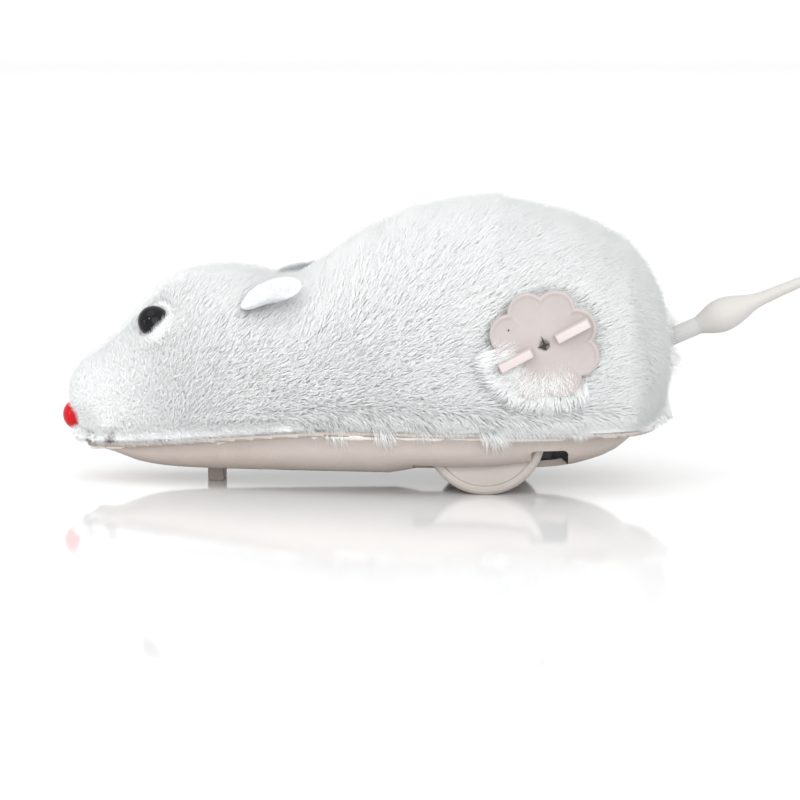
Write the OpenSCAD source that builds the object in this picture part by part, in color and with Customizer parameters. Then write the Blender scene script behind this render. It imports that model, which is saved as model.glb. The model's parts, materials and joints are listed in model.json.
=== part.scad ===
// Clockwork plush mouse: a wind-up motor drives two wheels under a fur-covered shell.
// Millimetres. X = 0 is the wheel axle, +X the tail, -Y the side with the winding key, Z = 0 the floor.

/* [Running gear] */
// Diameter of a driving wheel
wheel_d = 25; // [22:0.5:27]
// Width of a driving wheel
wheel_w = 5.5; // [4:0.5:6]
// Distance between the outer faces of the two wheels
track_w = 41.8; // [40:0.2:42]
// Diameter of the wheel axle
axle_d = 2.5; // [2:0.25:3]
// Distance from the axle forward to the front foot
wheelbase = 57.8; // [50:0.5:65]

/* [Winding key] */
// Distance of the winding axis behind the wheel axle
key_x = 12.1; // [6:0.1:14]
// Height of the winding axis
key_z = 32.3; // [31:0.1:35]
// Radius to the tips of the petals
key_r = 11.4; // [9:0.1:13]
// Number of petals
petals = 8; // [6:1:10]
// Thickness of the flower-shaped disc
key_t = 1.6; // [1.2:0.1:2.5]
// Height of the two grips above the disc
grip_h = 2.8; // [2:0.1:4]
// Tilt of the grips from level
grip_tilt = 28; // [0:1:90]

/* [Gear train] */
// Tooth size (pitch diameter over teeth)
gear_m = 0.6; // [0.55:0.01:0.62]
// Teeth of the gear on the winding arbor
main_teeth = 42; // [40:1:44]
// Teeth of the gear on the second shaft
second_teeth = 30; // [28:1:32]
// Teeth of both pinions
pinion_teeth = 12; // [11:1:13]
// Diameter of the winding arbor
arbor_d = 3.2; // [2.6:0.2:4]
// Turns of the mainspring
spring_turns = 7; // [4:1:9]

/* [Body] */
// Thickness of the plush and its pile
plush_t = 3.2; // [2.4:0.1:3.4]
// Wall of the hard shell under the plush
shell_t = 1.6; // [1.2:0.1:2]
// Wall of the base
base_t = 1.3; // [1:0.1:1.6]
// Diameter of an eye bead
eye_d = 6.6; // [5:0.2:7.4]
// Diameter of the nose bead
nose_d = 6.6; // [5:0.2:7]
// Length of an ear
ear_l = 13.5; // [10:0.5:16]
// Width of an ear
ear_w = 8; // [6:0.5:10]

/* [Tail] */
// Diameter of the moulded root that leaves the rump
tail_root_d = 3.7; // [3:0.1:4]
// Largest diameter of the tail's bulb
tail_bulb_d = 7; // [5:0.1:8]
// Upward slope of the tail where it leaves the rump
tail_slope = 23.5; // [18:0.5:28]

/* [Hidden] */
$fn = 48;

// Colours
plastic_c = [0.87, 0.82, 0.80];
fur_c = [0.90, 0.92, 0.92];
steel_c = [0.62, 0.63, 0.65];
brass_c = [0.80, 0.66, 0.36];

// Fits
press = 0;          // a piece fixed on its shaft
running = 0.05;     // radial play of a turning shaft
far = 60;           // reach of a cutter that passes right through

// Heights of the line where the shell meets the base, from snout to rump
RIM = [[-95, 8.7], [-84, 8.7], [-70.5, 9.8], [-61, 10.6], [-46, 12.1], [-33, 13.3], [-20, 13.5], [50, 13.5]];
function rim(x) = lookup(x, RIM);

// Stations along the furry body: x, half width, top, rise of the lower edge above the rim line
BODY = [[-89.4, 3.2, 19.0, 2.4], [-88.6, 5.6, 22.6, 1.1], [-86.7, 7.6, 25.3, 0.2], [-83.4, 9.6, 27.9, 0],
        [-79.2, 11.6, 31.1, 0], [-75.9, 12.9, 34.7, 0], [-72.7, 14.0, 38.5, 0], [-69.5, 15.0, 41.7, 0],
        [-65.2, 16.3, 44.2, 0], [-58.9, 17.9, 45.4, 0], [-52.5, 19.4, 45.3, 0], [-45.1, 21.0, 44.7, 0],
        [-39.8, 22.2, 44.7, 0], [-34.5, 23.5, 46.6, 0], [-27.1, 25.5, 51.9, 0], [-16.5, 27.8, 57.0, 0],
        [-7.0, 29.0, 59.1, 0], [0.4, 29.5, 60.0, 0], [8.0, 29.6, 58.4, 0], [16.3, 29.2, 56.5, 0],
        [21.6, 28.2, 54.4, 0], [28.0, 25.8, 51.0, 0], [32.2, 22.8, 47.2, 0], [35.5, 18.8, 42.4, 0],
        [37.7, 14.4, 36.5, 0.2], [39.0, 10.0, 31.0, 0.7], [39.8, 5.5, 25.0, 1.5]];
body_mid = -24.8;
body_half = 64.6;
end_share = 1.3;    // the ends are brought in by this share of what the sides are
widest = 0.38;      // height of the widest line, as a share of the section's height
roundness = 2.3;    // exponent of the section's superellipse
tuck = 25;          // degrees by which the section tucks in below the widest line
arc_steps = 26;

// Stations along the base: x, half width of the hull, height of its underside
HULL = [[-87.2, 2.4, 7.9], [-85.5, 4.6, 7.6], [-82.5, 6.9, 7.2], [-78.7, 8.6, 6.5], [-73.7, 10.9, 5.4],
        [-67.8, 13.0, 4.6], [-61, 15.0, 4.3], [-52, 18.2, 4.3], [-44, 20.3, 4.3], [-33, 22.8, 4.3],
        [-20, 25, 4.3],
        [-8, 26.2, 4.3], [0, 25.6, 4.3], [7, 24.3, 4.4], [15, 22.8, 4.8], [22, 20, 6.2],
        [27, 16.6, 8.3], [30.5, 12.5, 11], [33, 9.6, 12.1], [35.6, 7, 12.2],
        [37.6, 5, 12.3], [39, 3, 12.4]];
hull_mid = -24.1;
hull_half = 63.1;
hull_fine = 2;      // rings drawn for each station
bilge = 3.4;        // exponent of the hull's superellipse
hull_steps = 20;
flange_t = 0.8;     // thin lip round the top of the base
lip_gap = 0.15;     // the shell and the plush stop this far above the lip
draft = 0.1;        // the inside of the base opens by this at its mouth
floor_z = 4.3 + base_t + 0.1;

// Wheels
wheel_r = wheel_d / 2;
wheel_out = track_w / 2;
wheel_in = wheel_out - wheel_w;
slot_in = wheel_in - 1;
slot_out = wheel_out + 1.3;
slot_front = -wheel_r - 2.3;
slot_back = wheel_r + 4.6;
slot_top = 9.6;
window_front = 9.5;
window_out = wheel_out + 2.6;
window_corner = 1;
ease = 0.7;         // easing of the rim's two edges
wheel_rim = 2;
wheel_hub_r = 3.4;
hub_out = 0.4;      // the hub stands out of the inner face by this
wheel_dish = 0.8;
face_dish = 0.3;
axle_in = 0.8;      // the axle ends this far inside the outer face
slot_corner = 1.8;

// Motor frame, between two plates
plate_in = 12;
plate_t = 1;
plate_out = plate_in + plate_t;
deck_z = 6.5;       // the motor stands this high
FRAME = [[-13, deck_z], [-15.4, 22], [-15.4, 32], [-8, 43], [12, 47], [20, 44], [24, 41], [24, 19], [16, 19],
         [13.5, deck_z]];
PILLARS = [[-1.2, 39.6], [-13.4, 29.5], [21.8, 20.9]];
pillar_r = 1.5;
tenon_r = 1;
tenon_out = 0.4;
FEET_X = [-9.5, 10.5];
foot_block = [5, 2 * plate_in, 4];
screw_r = 1;

// Gear positions: the second shaft lies where both centre distances are met
mesh_play = 0.1;
main_pitch = main_teeth * gear_m / 2;
second_pitch = second_teeth * gear_m / 2;
pinion_pitch = pinion_teeth * gear_m / 2;
reach_1 = main_pitch + pinion_pitch + mesh_play;
reach_2 = second_pitch + pinion_pitch + mesh_play;
arbor_p = [key_x, key_z];
axle_p = [0, wheel_r];
span = norm(arbor_p - axle_p);
along = (pow(reach_1, 2) - pow(reach_2, 2) + pow(span, 2)) / (2 * span);
aside = sqrt(pow(reach_1, 2) - pow(along, 2));
toward = (axle_p - arbor_p) / span;
second_p = arbor_p + along * toward + aside * [toward[1], -toward[0]];
main_angle = atan2(second_p[1] - arbor_p[1], second_p[0] - arbor_p[0]);
drive_angle = atan2(axle_p[1] - second_p[1], axle_p[0] - second_p[0]);

// Layers across the motor, from the key side to the far side
spring_y = [-11.2, -3.2];
ratchet_y = [-2.7, -1.5];
click_y = [-2.5, -1.7];
main_y = [-0.7, 0.7];
main_hub_y = [0.7, 3];
pinion_y = [-1.3, 1.8];
second_y = [3, 4.4];
axle_pinion_y = [2.4, 5.2];
axle_pinion_hub_y = [-2, 2.4];

arbor_r = arbor_d / 2;
axle_r = axle_d / 2;
second_r = 0.9;
hub_r = 3.4;        // hub of the key, and its hole in the shell
hub_hole_r = hub_r + 0.8;
hub_in = plate_out + 3;     // inner end of the hub
disc_in = 30.6;     // inner face of the flower disc
disc_out = disc_in + key_t;
petal_r = 4.1;
petal_web = 0.8;    // the petals meet this far outside their centres
grip_x = 6.4;       // middle of a grip
grip = [7.8, 2.2];
ratchet_r = 5;
ratchet_root = 3.9;
ratchet_teeth = 12;
CLICK = [[4.15, 0.15], [4.3, 0.55], [4.7, 1.2], [5.5, 7], [7, 7], [6.4, 5.2], [5.15, 0.15]];
RIVET = [6.2, 6.3];
rivet_r = 0.9;
main_hub_r = 3;
second_hub_r = 2.7;
axle_hub_r = 2.2;

// Eyes, nose and ears, on the furry surface
eye_at = [-69.8, 10.7, 34.8];
eye_tilt = 58;          // the eye's stem leans inward by this from straight down
stem_r = 1;
stem = [1, 8];          // where a stem starts inside its bead, and its length
nose_at = [-87.9, 0, 13.7];
bead_play = 0.1;
ear_root = [-51.2, 16.3, 38.7];
felt_t = 0.8;
ear_lift = 18;          // climb of the ear toward its tip
ear_splay = 16;         // turn of the tip away from the head
ear_roll = 27;          // drop of the ear's outer edge
ear_steps = 16;
ear_arc = [3, 177];     // part of a half wave that the outline follows
ear_skew = 0.9;         // below 1, the widest line moves toward the root
ear_full = 0.75;        // below 1, the outline is fuller

// Tail: the pivot is inside the rump, and the bore of the spigot turns on the pin
pivot_x = 27.6;
exit_p = [37.9, 30.6];
pivot_z = exit_p[1] - (exit_p[0] - pivot_x) * tan(tail_slope);
pin_r = 1;
eye_h = 3.8;
lug_t = 1.4;
lug_gap = 0.3;
fork = eye_h + 2 * lug_gap;
post_x = [23.4, 25];
post_w = 6;
gear_room = 0.4;    // clearance of the main gear in its notch in the post
lug_end = pivot_x + 1.8;
tail_eye_r = 2.3;
neck = [1.2, 5.6];    // reach of the thin neck between the eye and the root
neck_r = 1.1;
root_from = 5.2;
pin_out = 0.4;
rump_hole = [3, tail_root_d + 4.1, tail_root_d + 1.5];  // start past the pivot, width and height
root_len = 18.5;      // from the pivot to the end of the spigot's thick part
tenon_len = 5;
tail_dir = [cos(tail_slope), sin(tail_slope)];
tail_start = [pivot_x, pivot_z] + root_len * tail_dir;
// Tail stations past the spigot: x and z from its end, radius as a share of the bulb's
TAIL = [[0, 0, 0.53], [1.5, 0.65, 0.72], [3.2, 1.4, 0.92], [5, 2.2, 1], [7, 3.05, 0.93], [9, 3.9, 0.74],
        [11, 4.8, 0.52], [13, 5.65, 0.4], [17, 7.4, 0.34], [22, 9.55, 0.29], [28, 12.1, 0.27],
        [34, 14.5, 0.25], [40, 16.5, 0.24], [46, 18, 0.23], [52, 18.6, 0.22], [58, 18.2, 0.21],
        [64, 17, 0.2], [70, 15.2, 0.19], [76, 13, 0.18], [82, 10.6, 0.17], [88, 8.2, 0.16],
        [94, 5.9, 0.15], [99, 4.2, 0.13], [101, 3.6, 0.08]];
tail_sides = 12;

// Front foot
foot_w = 3.4;
foot_d = 6;
foot_flange = 1;

// Screws that hold the base to the shell
SCREWS = [[-45, 12.5], [-45, -12.5], [21.5, 13], [21.5, -13]];
boss_r = 3;
head_r = 2.1;
head_h = 1.3;
screw_seat = 8.6;
screw_top = 18;
lug_h = 4.5;
lug_rise = 0.4;     // the shell's lugs stand this far above the rim line
boss_sink = 0.9;    // a boss starts this far above the underside
motor_seat = 5;
pad_w = 9;
post_seat = 11.5;
post_pad = [3.1, 8, 3.8];

// Value of column c of a table at x, on a smooth curve through its stations
function cell(t, x, i = 0) = i >= len(t) - 2 || x < t[i + 1][0] ? i : cell(t, x, i + 1);
function slope(t, c, i) =
    let (a = max(i - 1, 0), b = min(i + 1, len(t) - 1))
    (t[b][c] - t[a][c]) / (t[b][0] - t[a][0]);
function at(t, c, x) =
    let (i = cell(t, x), h = t[i + 1][0] - t[i][0], u = (x - t[i][0]) / h)
    t[i][c] * (1 + 2 * u) * pow(1 - u, 2) + slope(t, c, i) * h * u * pow(1 - u, 2)
    + t[i + 1][c] * u * u * (3 - 2 * u) - slope(t, c, i + 1) * h * u * u * (1 - u);
// The same table with n stations for each of its own
function fine(t, n) =
    concat([for (i = [0 : len(t) - 2], k = [0 : n - 1])
            let (x = t[i][0] + (t[i + 1][0] - t[i][0]) * k / n)
            [x, at(t, 1, x), at(t, 2, x)]],
           [t[len(t) - 1]]);

function spow(v, e) = sign(v) * pow(abs(v), e);
// A size brought in by d, less where the section is small
function inset(v, d) = max(v * (1 - d / 7), v - d);

// Open section of the body at station s, brought in by d: from one lower edge over the top to the other
function body_ring(s, d) =
    let (x = body_mid + (s[0] - body_mid) * (1 - end_share * d / body_half),
         low = rim(x) + s[3],
         high = low + inset(s[2] - rim(s[0]) - s[3], d),
         mid = low + widest * (high - low),
         w = inset(s[1], d))
    [for (j = [0 : arc_steps])
        let (a = -tuck + (180 + 2 * tuck) * j / arc_steps)
        [x, w * spow(cos(a), 2 / roundness),
         sin(a) >= 0 ? mid + (high - mid) * pow(sin(a), 2 / roundness)
                     : mid - (mid - low) * sin(-a) / sin(tuck)]];

// Half width of the body's lower edge at x, brought in by d
function edge_w(x, d) =
    let (sx = body_mid + (x - body_mid) / (1 - end_share * d / body_half))
    inset(at(BODY, 1, sx), d) * pow(cos(tuck), 2 / roundness);

// Half width of the lip: just inside the lower edge of the fur
function lip_w(x, w) = max(w + 0.4, edge_w(x, 0) - 0.8);
// Open section of the base at station s, brought in by d: from one top edge under the keel to the other
function hull_ring(s, d) =
    let (x = hull_mid + (s[0] - hull_mid) * (1 - d / hull_half),
         top = rim(x) - lip_gap,
         side = top - flange_t,
         w = s[1] - (d == 0 ? 0 : min(d, s[1] / 2)),
         low = min(s[2] + d, side - (d == 0 ? 0.6 : 0.25)),
         lip = d == 0 ? lip_w(s[0], s[1]) : w + draft,
         step = d == 0 ? side : (top + side) / 2)
    concat([[x, -lip, top], [x, -lip, step]],
           [for (j = [0 : hull_steps])
               let (a = 180 * j / hull_steps)
               [x, -w * spow(cos(a), 2 / bilge), side - (side - low) * pow(sin(a), 2 / bilge)]],
           [[x, lip, step], [x, lip, top]]);

// Thin-walled cup between two lists of open sections; its mouth is where the sections are open
module cup(outer, inner) {
    n = len(outer);
    m = len(outer[0]);
    points = [for (r = concat(outer, inner)) each r];
    wall = [for (i = [0 : n - 2], j = [0 : m - 2])
            let (a = i * m + j, b = a + 1, c = a + m, d = c + 1)
            each [[a, d, b], [a, c, d]]];
    mouth = [for (i = [0 : n - 2], e = [0, 1])
             let (a = i * m + e * (m - 1), c = a + m, b = a + n * m, d = c + n * m)
             each e == 0 ? [[a, d, c], [a, b, d]] : [[a, c, d], [a, d, b]]];
    front = [for (j = [0 : m - 1]) j];
    back = [for (j = [m - 1 : -1 : 0]) (n - 1) * m + j];
    shift = n * m;
    ends = [front, back,
            [for (k = [m - 1 : -1 : 0]) front[k] + shift],
            [for (k = [m - 1 : -1 : 0]) back[k] + shift],
            [m - 1, shift + m - 1, shift, 0],
            [shift + (n - 1) * m, shift + n * m - 1, n * m - 1, (n - 1) * m]];
    polyhedron(points, concat(wall, [for (f = wall) [f[2] + shift, f[1] + shift, f[0] + shift]], mouth, ends),
               convexity = 6);
}

// A shape drawn in X and Z, standing between two Y values
module across(y) {
    translate([0, y[1], 0])
        rotate([90, 0, 0])
            linear_extrude(y[1] - y[0], convexity = 6)
                children();
}
// A round bar of radius r along Y through point p
module bar(p, r, y) {
    translate([p[0], y[1], p[1]])
        rotate([90, 0, 0])
            cylinder(r = r, h = y[1] - y[0]);
}

// Involute gear profile
pressure = 20;
thin = 0.03;        // each flank is thinner by this, for backlash
flank_steps = 4;
function involute(a) = tan(a) * 180 / PI - a;
function flank(teeth, r) =
    let (rp = teeth * gear_m / 2, rb = rp * cos(pressure))
    90 / teeth - thin / rp * 180 / PI + involute(pressure) - involute(acos(min(1, rb / r)));
module gear_outline(teeth) {
    rp = teeth * gear_m / 2;
    root = rp - 1.15 * gear_m;
    tip = rp + 0.9 * gear_m;
    foot = max(root, rp * cos(pressure));
    up = [for (k = [0 : flank_steps])
          let (r = foot + (tip - foot) * k / flank_steps)
          [r, flank(teeth, r)]];
    side = concat([[root, up[0][1]]], up);
    last = len(side) - 1;
    polygon([for (i = [0 : teeth - 1])
             let (c = 360 * i / teeth)
             each concat([for (p = side) p[0] * [cos(c - p[1]), sin(c - p[1])]],
                         [for (k = [last : -1 : 0])
                          let (p = side[k])
                          p[0] * [cos(c + p[1]), sin(c + p[1])]])]);
}
module gear(p, teeth, phase, y) {
    across(y)
        translate(p)
            rotate(phase)
                gear_outline(teeth);
}

// ---- Covers ----
module body_cutters(play) {
    bar(arbor_p, hub_hole_r, [-far, -hub_in]);
    for (s = [-1, 1])
        translate([eye_at[0], s * eye_at[1], eye_at[2]])
            sphere(r = eye_d / 2 + play);
    translate(nose_at)
        sphere(r = nose_d / 2 + play);
    translate([pivot_x, 0, pivot_z])
        rotate([0, -tail_slope, 0])
            translate([rump_hole[0], -rump_hole[1] / 2, -rump_hole[2] / 2])
                cube([far, rump_hole[1], rump_hole[2]]);
}
module stems(r) {
    for (s = [-1, 1])
        eye_stem(s, r);
    nose_stem(r);
}
module eye_stem(s, r) {
    translate([eye_at[0], s * eye_at[1], eye_at[2]])
        rotate([-s * eye_tilt, 0, 0])
            translate([0, 0, -stem[0] - stem[1]])
                cylinder(r = r, h = stem[1]);
}
module nose_stem(r) {
    translate(nose_at)
        rotate([0, 90, 0])
            cylinder(r = r, h = stem[1]);
}
module plush_skin() {
    color(fur_c)
        difference() {
            cup([for (s = BODY) body_ring(s, 0)], [for (s = BODY) body_ring(s, plush_t)]);
            body_cutters(bead_play);
            stems(stem_r);
        }
}
module upper_shell() {
    color(plastic_c)
        difference() {
            union() {
                cup([for (s = BODY) body_ring(s, plush_t)], [for (s = BODY) body_ring(s, plush_t + shell_t)]);
                for (p = SCREWS)
                    screw_lug(p);
            }
            body_cutters(bead_play);
            stems(stem_r);
            for (p = SCREWS)
                translate([p[0], p[1], 0])
                    cylinder(r = screw_r, h = screw_top);
        }
}
// Lug on the shell's side wall that a base screw bites into
module screw_lug(p) {
    wall = edge_w(p[0], plush_t + shell_t / 2);
    inner = abs(p[1]) - boss_r;
    translate([p[0] - boss_r, p[1] > 0 ? inner : -wall, rim(p[0]) + lug_rise])
        cube([2 * boss_r, wall - inner, lug_h]);
}
// Half width of an ear at share u of its length
function ear_half(u) =
    let (a = ear_arc[0] + (ear_arc[1] - ear_arc[0]) * pow(u, ear_skew))
    ear_w / 2 * pow(sin(a), ear_full);
module ear_outline() {
    polygon(concat([for (k = [0 : ear_steps]) [ear_l * k / ear_steps, -ear_half(k / ear_steps)]],
                   [for (k = [ear_steps : -1 : 0]) [ear_l * k / ear_steps, ear_half(k / ear_steps)]]));
}
module ear(s) {
    color([0.93, 0.94, 0.95])
        translate([ear_root[0], s * ear_root[1], ear_root[2]])
            rotate([0, 0, s * ear_splay])
                rotate([0, -ear_lift, 0])
                    rotate([-s * ear_roll, 0, 0])
                        translate([0, 0, -felt_t / 2])
                            linear_extrude(felt_t)
                                ear_outline();
}
module eye(s) {
    color([0.03, 0.03, 0.03]) {
        translate([eye_at[0], s * eye_at[1], eye_at[2]])
            sphere(r = eye_d / 2);
        eye_stem(s, stem_r);
    }
}
module nose() {
    color([0.8, 0.1, 0.12]) {
        translate(nose_at)
            sphere(r = nose_d / 2);
        nose_stem(stem_r);
    }
}

// ---- Base ----
module wheel_slot(s) {
    long = slot_back - slot_front;
    wide = slot_out - slot_in;
    translate([slot_front, s > 0 ? slot_in : -slot_out, 0]) {
        cube([long - slot_corner, wide, slot_top]);
        translate([0, s > 0 ? 0 : slot_corner, 0])
            cube([long, wide - slot_corner, slot_top]);
        translate([long - slot_corner, s > 0 ? wide - slot_corner : slot_corner, 0])
            cylinder(r = slot_corner, h = slot_top);
    }
    slot_window(s > 0 ? [slot_in, window_out] : [-window_out, -slot_in]);
}
// Behind the wheel the slot breaks out through the side of the base
module slot_window(y) {
    wide = y[1] - y[0];
    hull() {
        bar([slot_back - window_corner, slot_top - window_corner], window_corner, y);
        translate([window_front, y[0], 0])
            cube([slot_back - window_front, wide, 1]);
        translate([window_front, y[0], 0])
            cube([1, wide, slot_top]);
    }
}
module screw_boss(p) {
    from = at(HULL, 2, p[0] + boss_r) + boss_sink;
    translate([p[0], p[1], from])
        cylinder(r = boss_r, h = rim(p[0]) - lip_gap - from);
}
module base_tub() {
    color(plastic_c)
        difference() {
            union() {
                cup([for (s = fine(HULL, hull_fine)) hull_ring(s, 0)],
                    [for (s = fine(HULL, hull_fine)) hull_ring(s, base_t)]);
                for (x = FEET_X)
                    translate([x - foot_block[0] / 2, -pad_w, motor_seat])
                        cube([foot_block[0], 2 * pad_w, deck_z - motor_seat]);
                for (p = SCREWS)
                    screw_boss(p);
                translate([post_x[0] - 1, -post_pad[1] / 2, post_seat - post_pad[2]])
                    cube(post_pad);
            }
            for (s = [-1, 1])
                wheel_slot(s);
            for (x = FEET_X)
                translate([x, 0, 0]) {
                    cylinder(r = screw_r, h = deck_z + 1);
                    cylinder(r = head_r, h = motor_seat);
                }
            for (p = SCREWS)
                translate([p[0], p[1], 0]) {
                    cylinder(r = screw_r, h = far);
                    cylinder(r = head_r, h = screw_seat);
                }
            translate([-wheelbase - foot_w / 2, -foot_d / 2, 0])
                cube([foot_w, foot_d, far]);
        }
}
module front_foot() {
    color([0.86, 0.80, 0.78]) {
        translate([-wheelbase - foot_w / 2, -foot_d / 2, 0])
            cube([foot_w, foot_d, floor_z]);
        translate([-wheelbase - foot_w / 2 - foot_flange, -foot_d / 2 - foot_flange, floor_z])
            cube([foot_w + 2 * foot_flange, foot_d + 2 * foot_flange, foot_flange]);
    }
}
module screw(head, tip) {
    translate([0, 0, head])
        cylinder(r = head_r, h = head_h);
    translate([0, 0, head])
        cylinder(r = screw_r, h = tip - head);
}
module base_screws() {
    color(steel_c)
        for (p = SCREWS)
            translate([p[0], p[1], 0])
                screw(screw_seat - head_h, screw_top - 1);
}
module motor_screws() {
    color(steel_c)
        for (x = FEET_X)
            translate([x, 0, 0])
                screw(motor_seat - head_h, deck_z + foot_block[2] - 0.5);
}

// ---- Motor frame ----
module motor_plate(s) {
    y = s > 0 ? [plate_in, plate_out] : [-plate_out, -plate_in];
    color(steel_c)
        difference() {
            across(y)
                polygon(FRAME);
            bar(arbor_p, arbor_r + running, [-far, far]);
            bar(second_p, second_r + running, [-far, far]);
            bar(axle_p, axle_r + running, [-far, far]);
            for (p = PILLARS)
                bar(p, tenon_r, [-far, far]);
        }
}
module motor_pillars() {
    color(steel_c)
        for (p = PILLARS) {
            bar(p, pillar_r, [-plate_in, plate_in]);
            bar(p, tenon_r, [-plate_out - tenon_out, plate_out + tenon_out]);
        }
}
module motor_feet() {
    color(plastic_c)
        for (x = FEET_X)
            difference() {
                translate([x - foot_block[0] / 2, -plate_in, deck_z])
                    cube(foot_block);
                translate([x, 0, 0])
                    cylinder(r = screw_r, h = deck_z + foot_block[2] - 0.5);
            }
}

// ---- Winding side ----
spring_t = 0.4;
spring_in = arbor_r + 0.15;
spring_end = norm(PILLARS[0] - arbor_p) - pillar_r - spring_t;
spring_angle = atan2(PILLARS[0][1] - arbor_p[1], PILLARS[0][0] - arbor_p[0]);
turn_steps = 24;
function spiral(k, out) =
    let (n = spring_turns * turn_steps,
         r = spring_in + (spring_end - spring_in) * k / n + out,
         a = spring_angle - 360 * (n - k) / turn_steps)
    r * [cos(a), sin(a)];
module mainspring() {
    n = spring_turns * turn_steps;
    color([0.35, 0.37, 0.42])
        across(spring_y)
            translate(arbor_p)
                polygon(concat([for (k = [0 : n]) spiral(k, 0)],
                               [for (k = [n : -1 : 0]) spiral(k, spring_t)]));
}
module arbor() {
    color(steel_c)
        bar(arbor_p, arbor_r, [-disc_out + 1, plate_out + 0.8]);
}
module ratchet_wheel() {
    color(brass_c)
        difference() {
            across(ratchet_y)
                translate(arbor_p)
                    polygon([for (i = [0 : ratchet_teeth - 1])
                             let (a = 360 * i / ratchet_teeth)
                             each [ratchet_r * [cos(a), sin(a)], ratchet_root * [cos(a), sin(a)]]]);
            bar(arbor_p, arbor_r + press, [-far, far]);
        }
}
module click_spring() {
    color(steel_c) {
        across(click_y)
            translate(arbor_p)
                polygon(CLICK);
        bar(arbor_p + RIVET, rivet_r, [click_y[0] - 0.3, main_y[0]]);
    }
}
module main_gear() {
    color(brass_c)
        difference() {
            union() {
                gear(arbor_p, main_teeth, main_angle, main_y);
                bar(arbor_p, main_hub_r, main_hub_y);
            }
            bar(arbor_p, arbor_r + running, [-far, far]);
        }
}
module winding_key() {
    color([0.90, 0.85, 0.83])
        difference() {
            union() {
                across([-disc_out, -disc_in])
                    translate(arbor_p) {
                        circle(r = key_r - petal_r + petal_web);
                        for (i = [0 : petals - 1])
                            rotate(grip_tilt + 360 * i / petals)
                                translate([key_r - petal_r, 0])
                                    circle(r = petal_r);
                    }
                across([-disc_out - grip_h, -disc_out])
                    translate(arbor_p)
                        rotate(grip_tilt)
                            for (s = [-1, 1])
                                translate([s * grip_x, 0])
                                    square(grip, center = true);
                bar(arbor_p, hub_r, [-disc_in, -hub_in]);
            }
            bar(arbor_p, arbor_r + press, [-far, far]);
        }
}

// ---- Second shaft and axle ----
module second_shaft() {
    color(steel_c)
        bar(second_p, second_r, [-plate_out - 0.6, plate_out + 0.6]);
}
module second_gear() {
    color(brass_c)
        difference() {
            union() {
                gear(second_p, pinion_teeth, main_angle + 180 + 180 / pinion_teeth, pinion_y);
                bar(second_p, second_hub_r, [pinion_y[1], second_y[0]]);
                gear(second_p, second_teeth, drive_angle, second_y);
            }
            bar(second_p, second_r + press, [-far, far]);
        }
}
module axle() {
    color(steel_c)
        bar(axle_p, axle_r, [-wheel_out + axle_in, wheel_out - axle_in]);
}
module axle_pinion() {
    color(brass_c)
        difference() {
            union() {
                gear(axle_p, pinion_teeth, drive_angle + 180 + 180 / pinion_teeth, axle_pinion_y);
                bar(axle_p, axle_hub_r, axle_pinion_hub_y);
            }
            bar(axle_p, axle_r + press, [-far, far]);
        }
}
// A wheel with an eased rim, and a shallow recess inside it on both faces
module wheel(s) {
    w = wheel_w;
    r = wheel_r;
    inner = r - wheel_rim;
    face = w - face_dish;
    color([0.80, 0.75, 0.72])
        translate([0, s * wheel_in, wheel_r])
            rotate([-s * 90, 0, 0])
                difference() {
                    rotate_extrude($fn = 96)
                        polygon([[0, -hub_out], [wheel_hub_r, -hub_out], [wheel_hub_r, wheel_dish],
                                 [inner, wheel_dish], [inner, 0], [r - ease, 0], [r, ease], [r, w - ease],
                                 [r - ease, w], [inner + face_dish, w], [inner, face], [0, face]]);
                    translate([0, 0, -1])
                        cylinder(r = axle_r + press, h = w - axle_in + 1);
                }
}

// ---- Tail ----
module tail_post() {
    color(plastic_c)
        difference() {
            union() {
                translate([post_x[0], -post_w / 2, post_seat])
                    cube([post_x[1] - post_x[0], post_w, pivot_z + fork / 2 + lug_t - post_seat]);
                for (z = [pivot_z - fork / 2 - lug_t, pivot_z + fork / 2])
                    translate([post_x[0], -post_w / 2, z])
                        cube([lug_end - post_x[0], post_w, lug_t]);
            }
            translate([pivot_x, 0, 0])
                cylinder(r = pin_r, h = far);
            bar(arbor_p, main_pitch + gear_m + gear_room, [main_y[0] - gear_room, main_y[1] + gear_room]);
        }
}
module tail_pin() {
    color(steel_c)
        translate([pivot_x, 0, pivot_z - fork / 2 - lug_t - pin_out])
            cylinder(r = pin_r, h = fork + 2 * lug_t + 2 * pin_out);
}
module tail_spigot() {
    color([0.78, 0.78, 0.78])
        difference() {
            union() {
                translate([pivot_x, 0, pivot_z - eye_h / 2])
                    cylinder(r = tail_eye_r, h = eye_h);
                translate([pivot_x, 0, pivot_z])
                    rotate([0, 90 - tail_slope, 0]) {
                        translate([0, 0, neck[0]])
                            cylinder(r = neck_r, h = neck[1] - neck[0]);
                        translate([0, 0, root_from])
                            cylinder(r = tail_root_d / 2, h = root_len - root_from);
                        cylinder(r = pin_r, h = root_len + tenon_len);
                    }
            }
            translate([pivot_x, 0, 0])
                cylinder(r = pin_r + running, h = far);
        }
}
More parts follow.
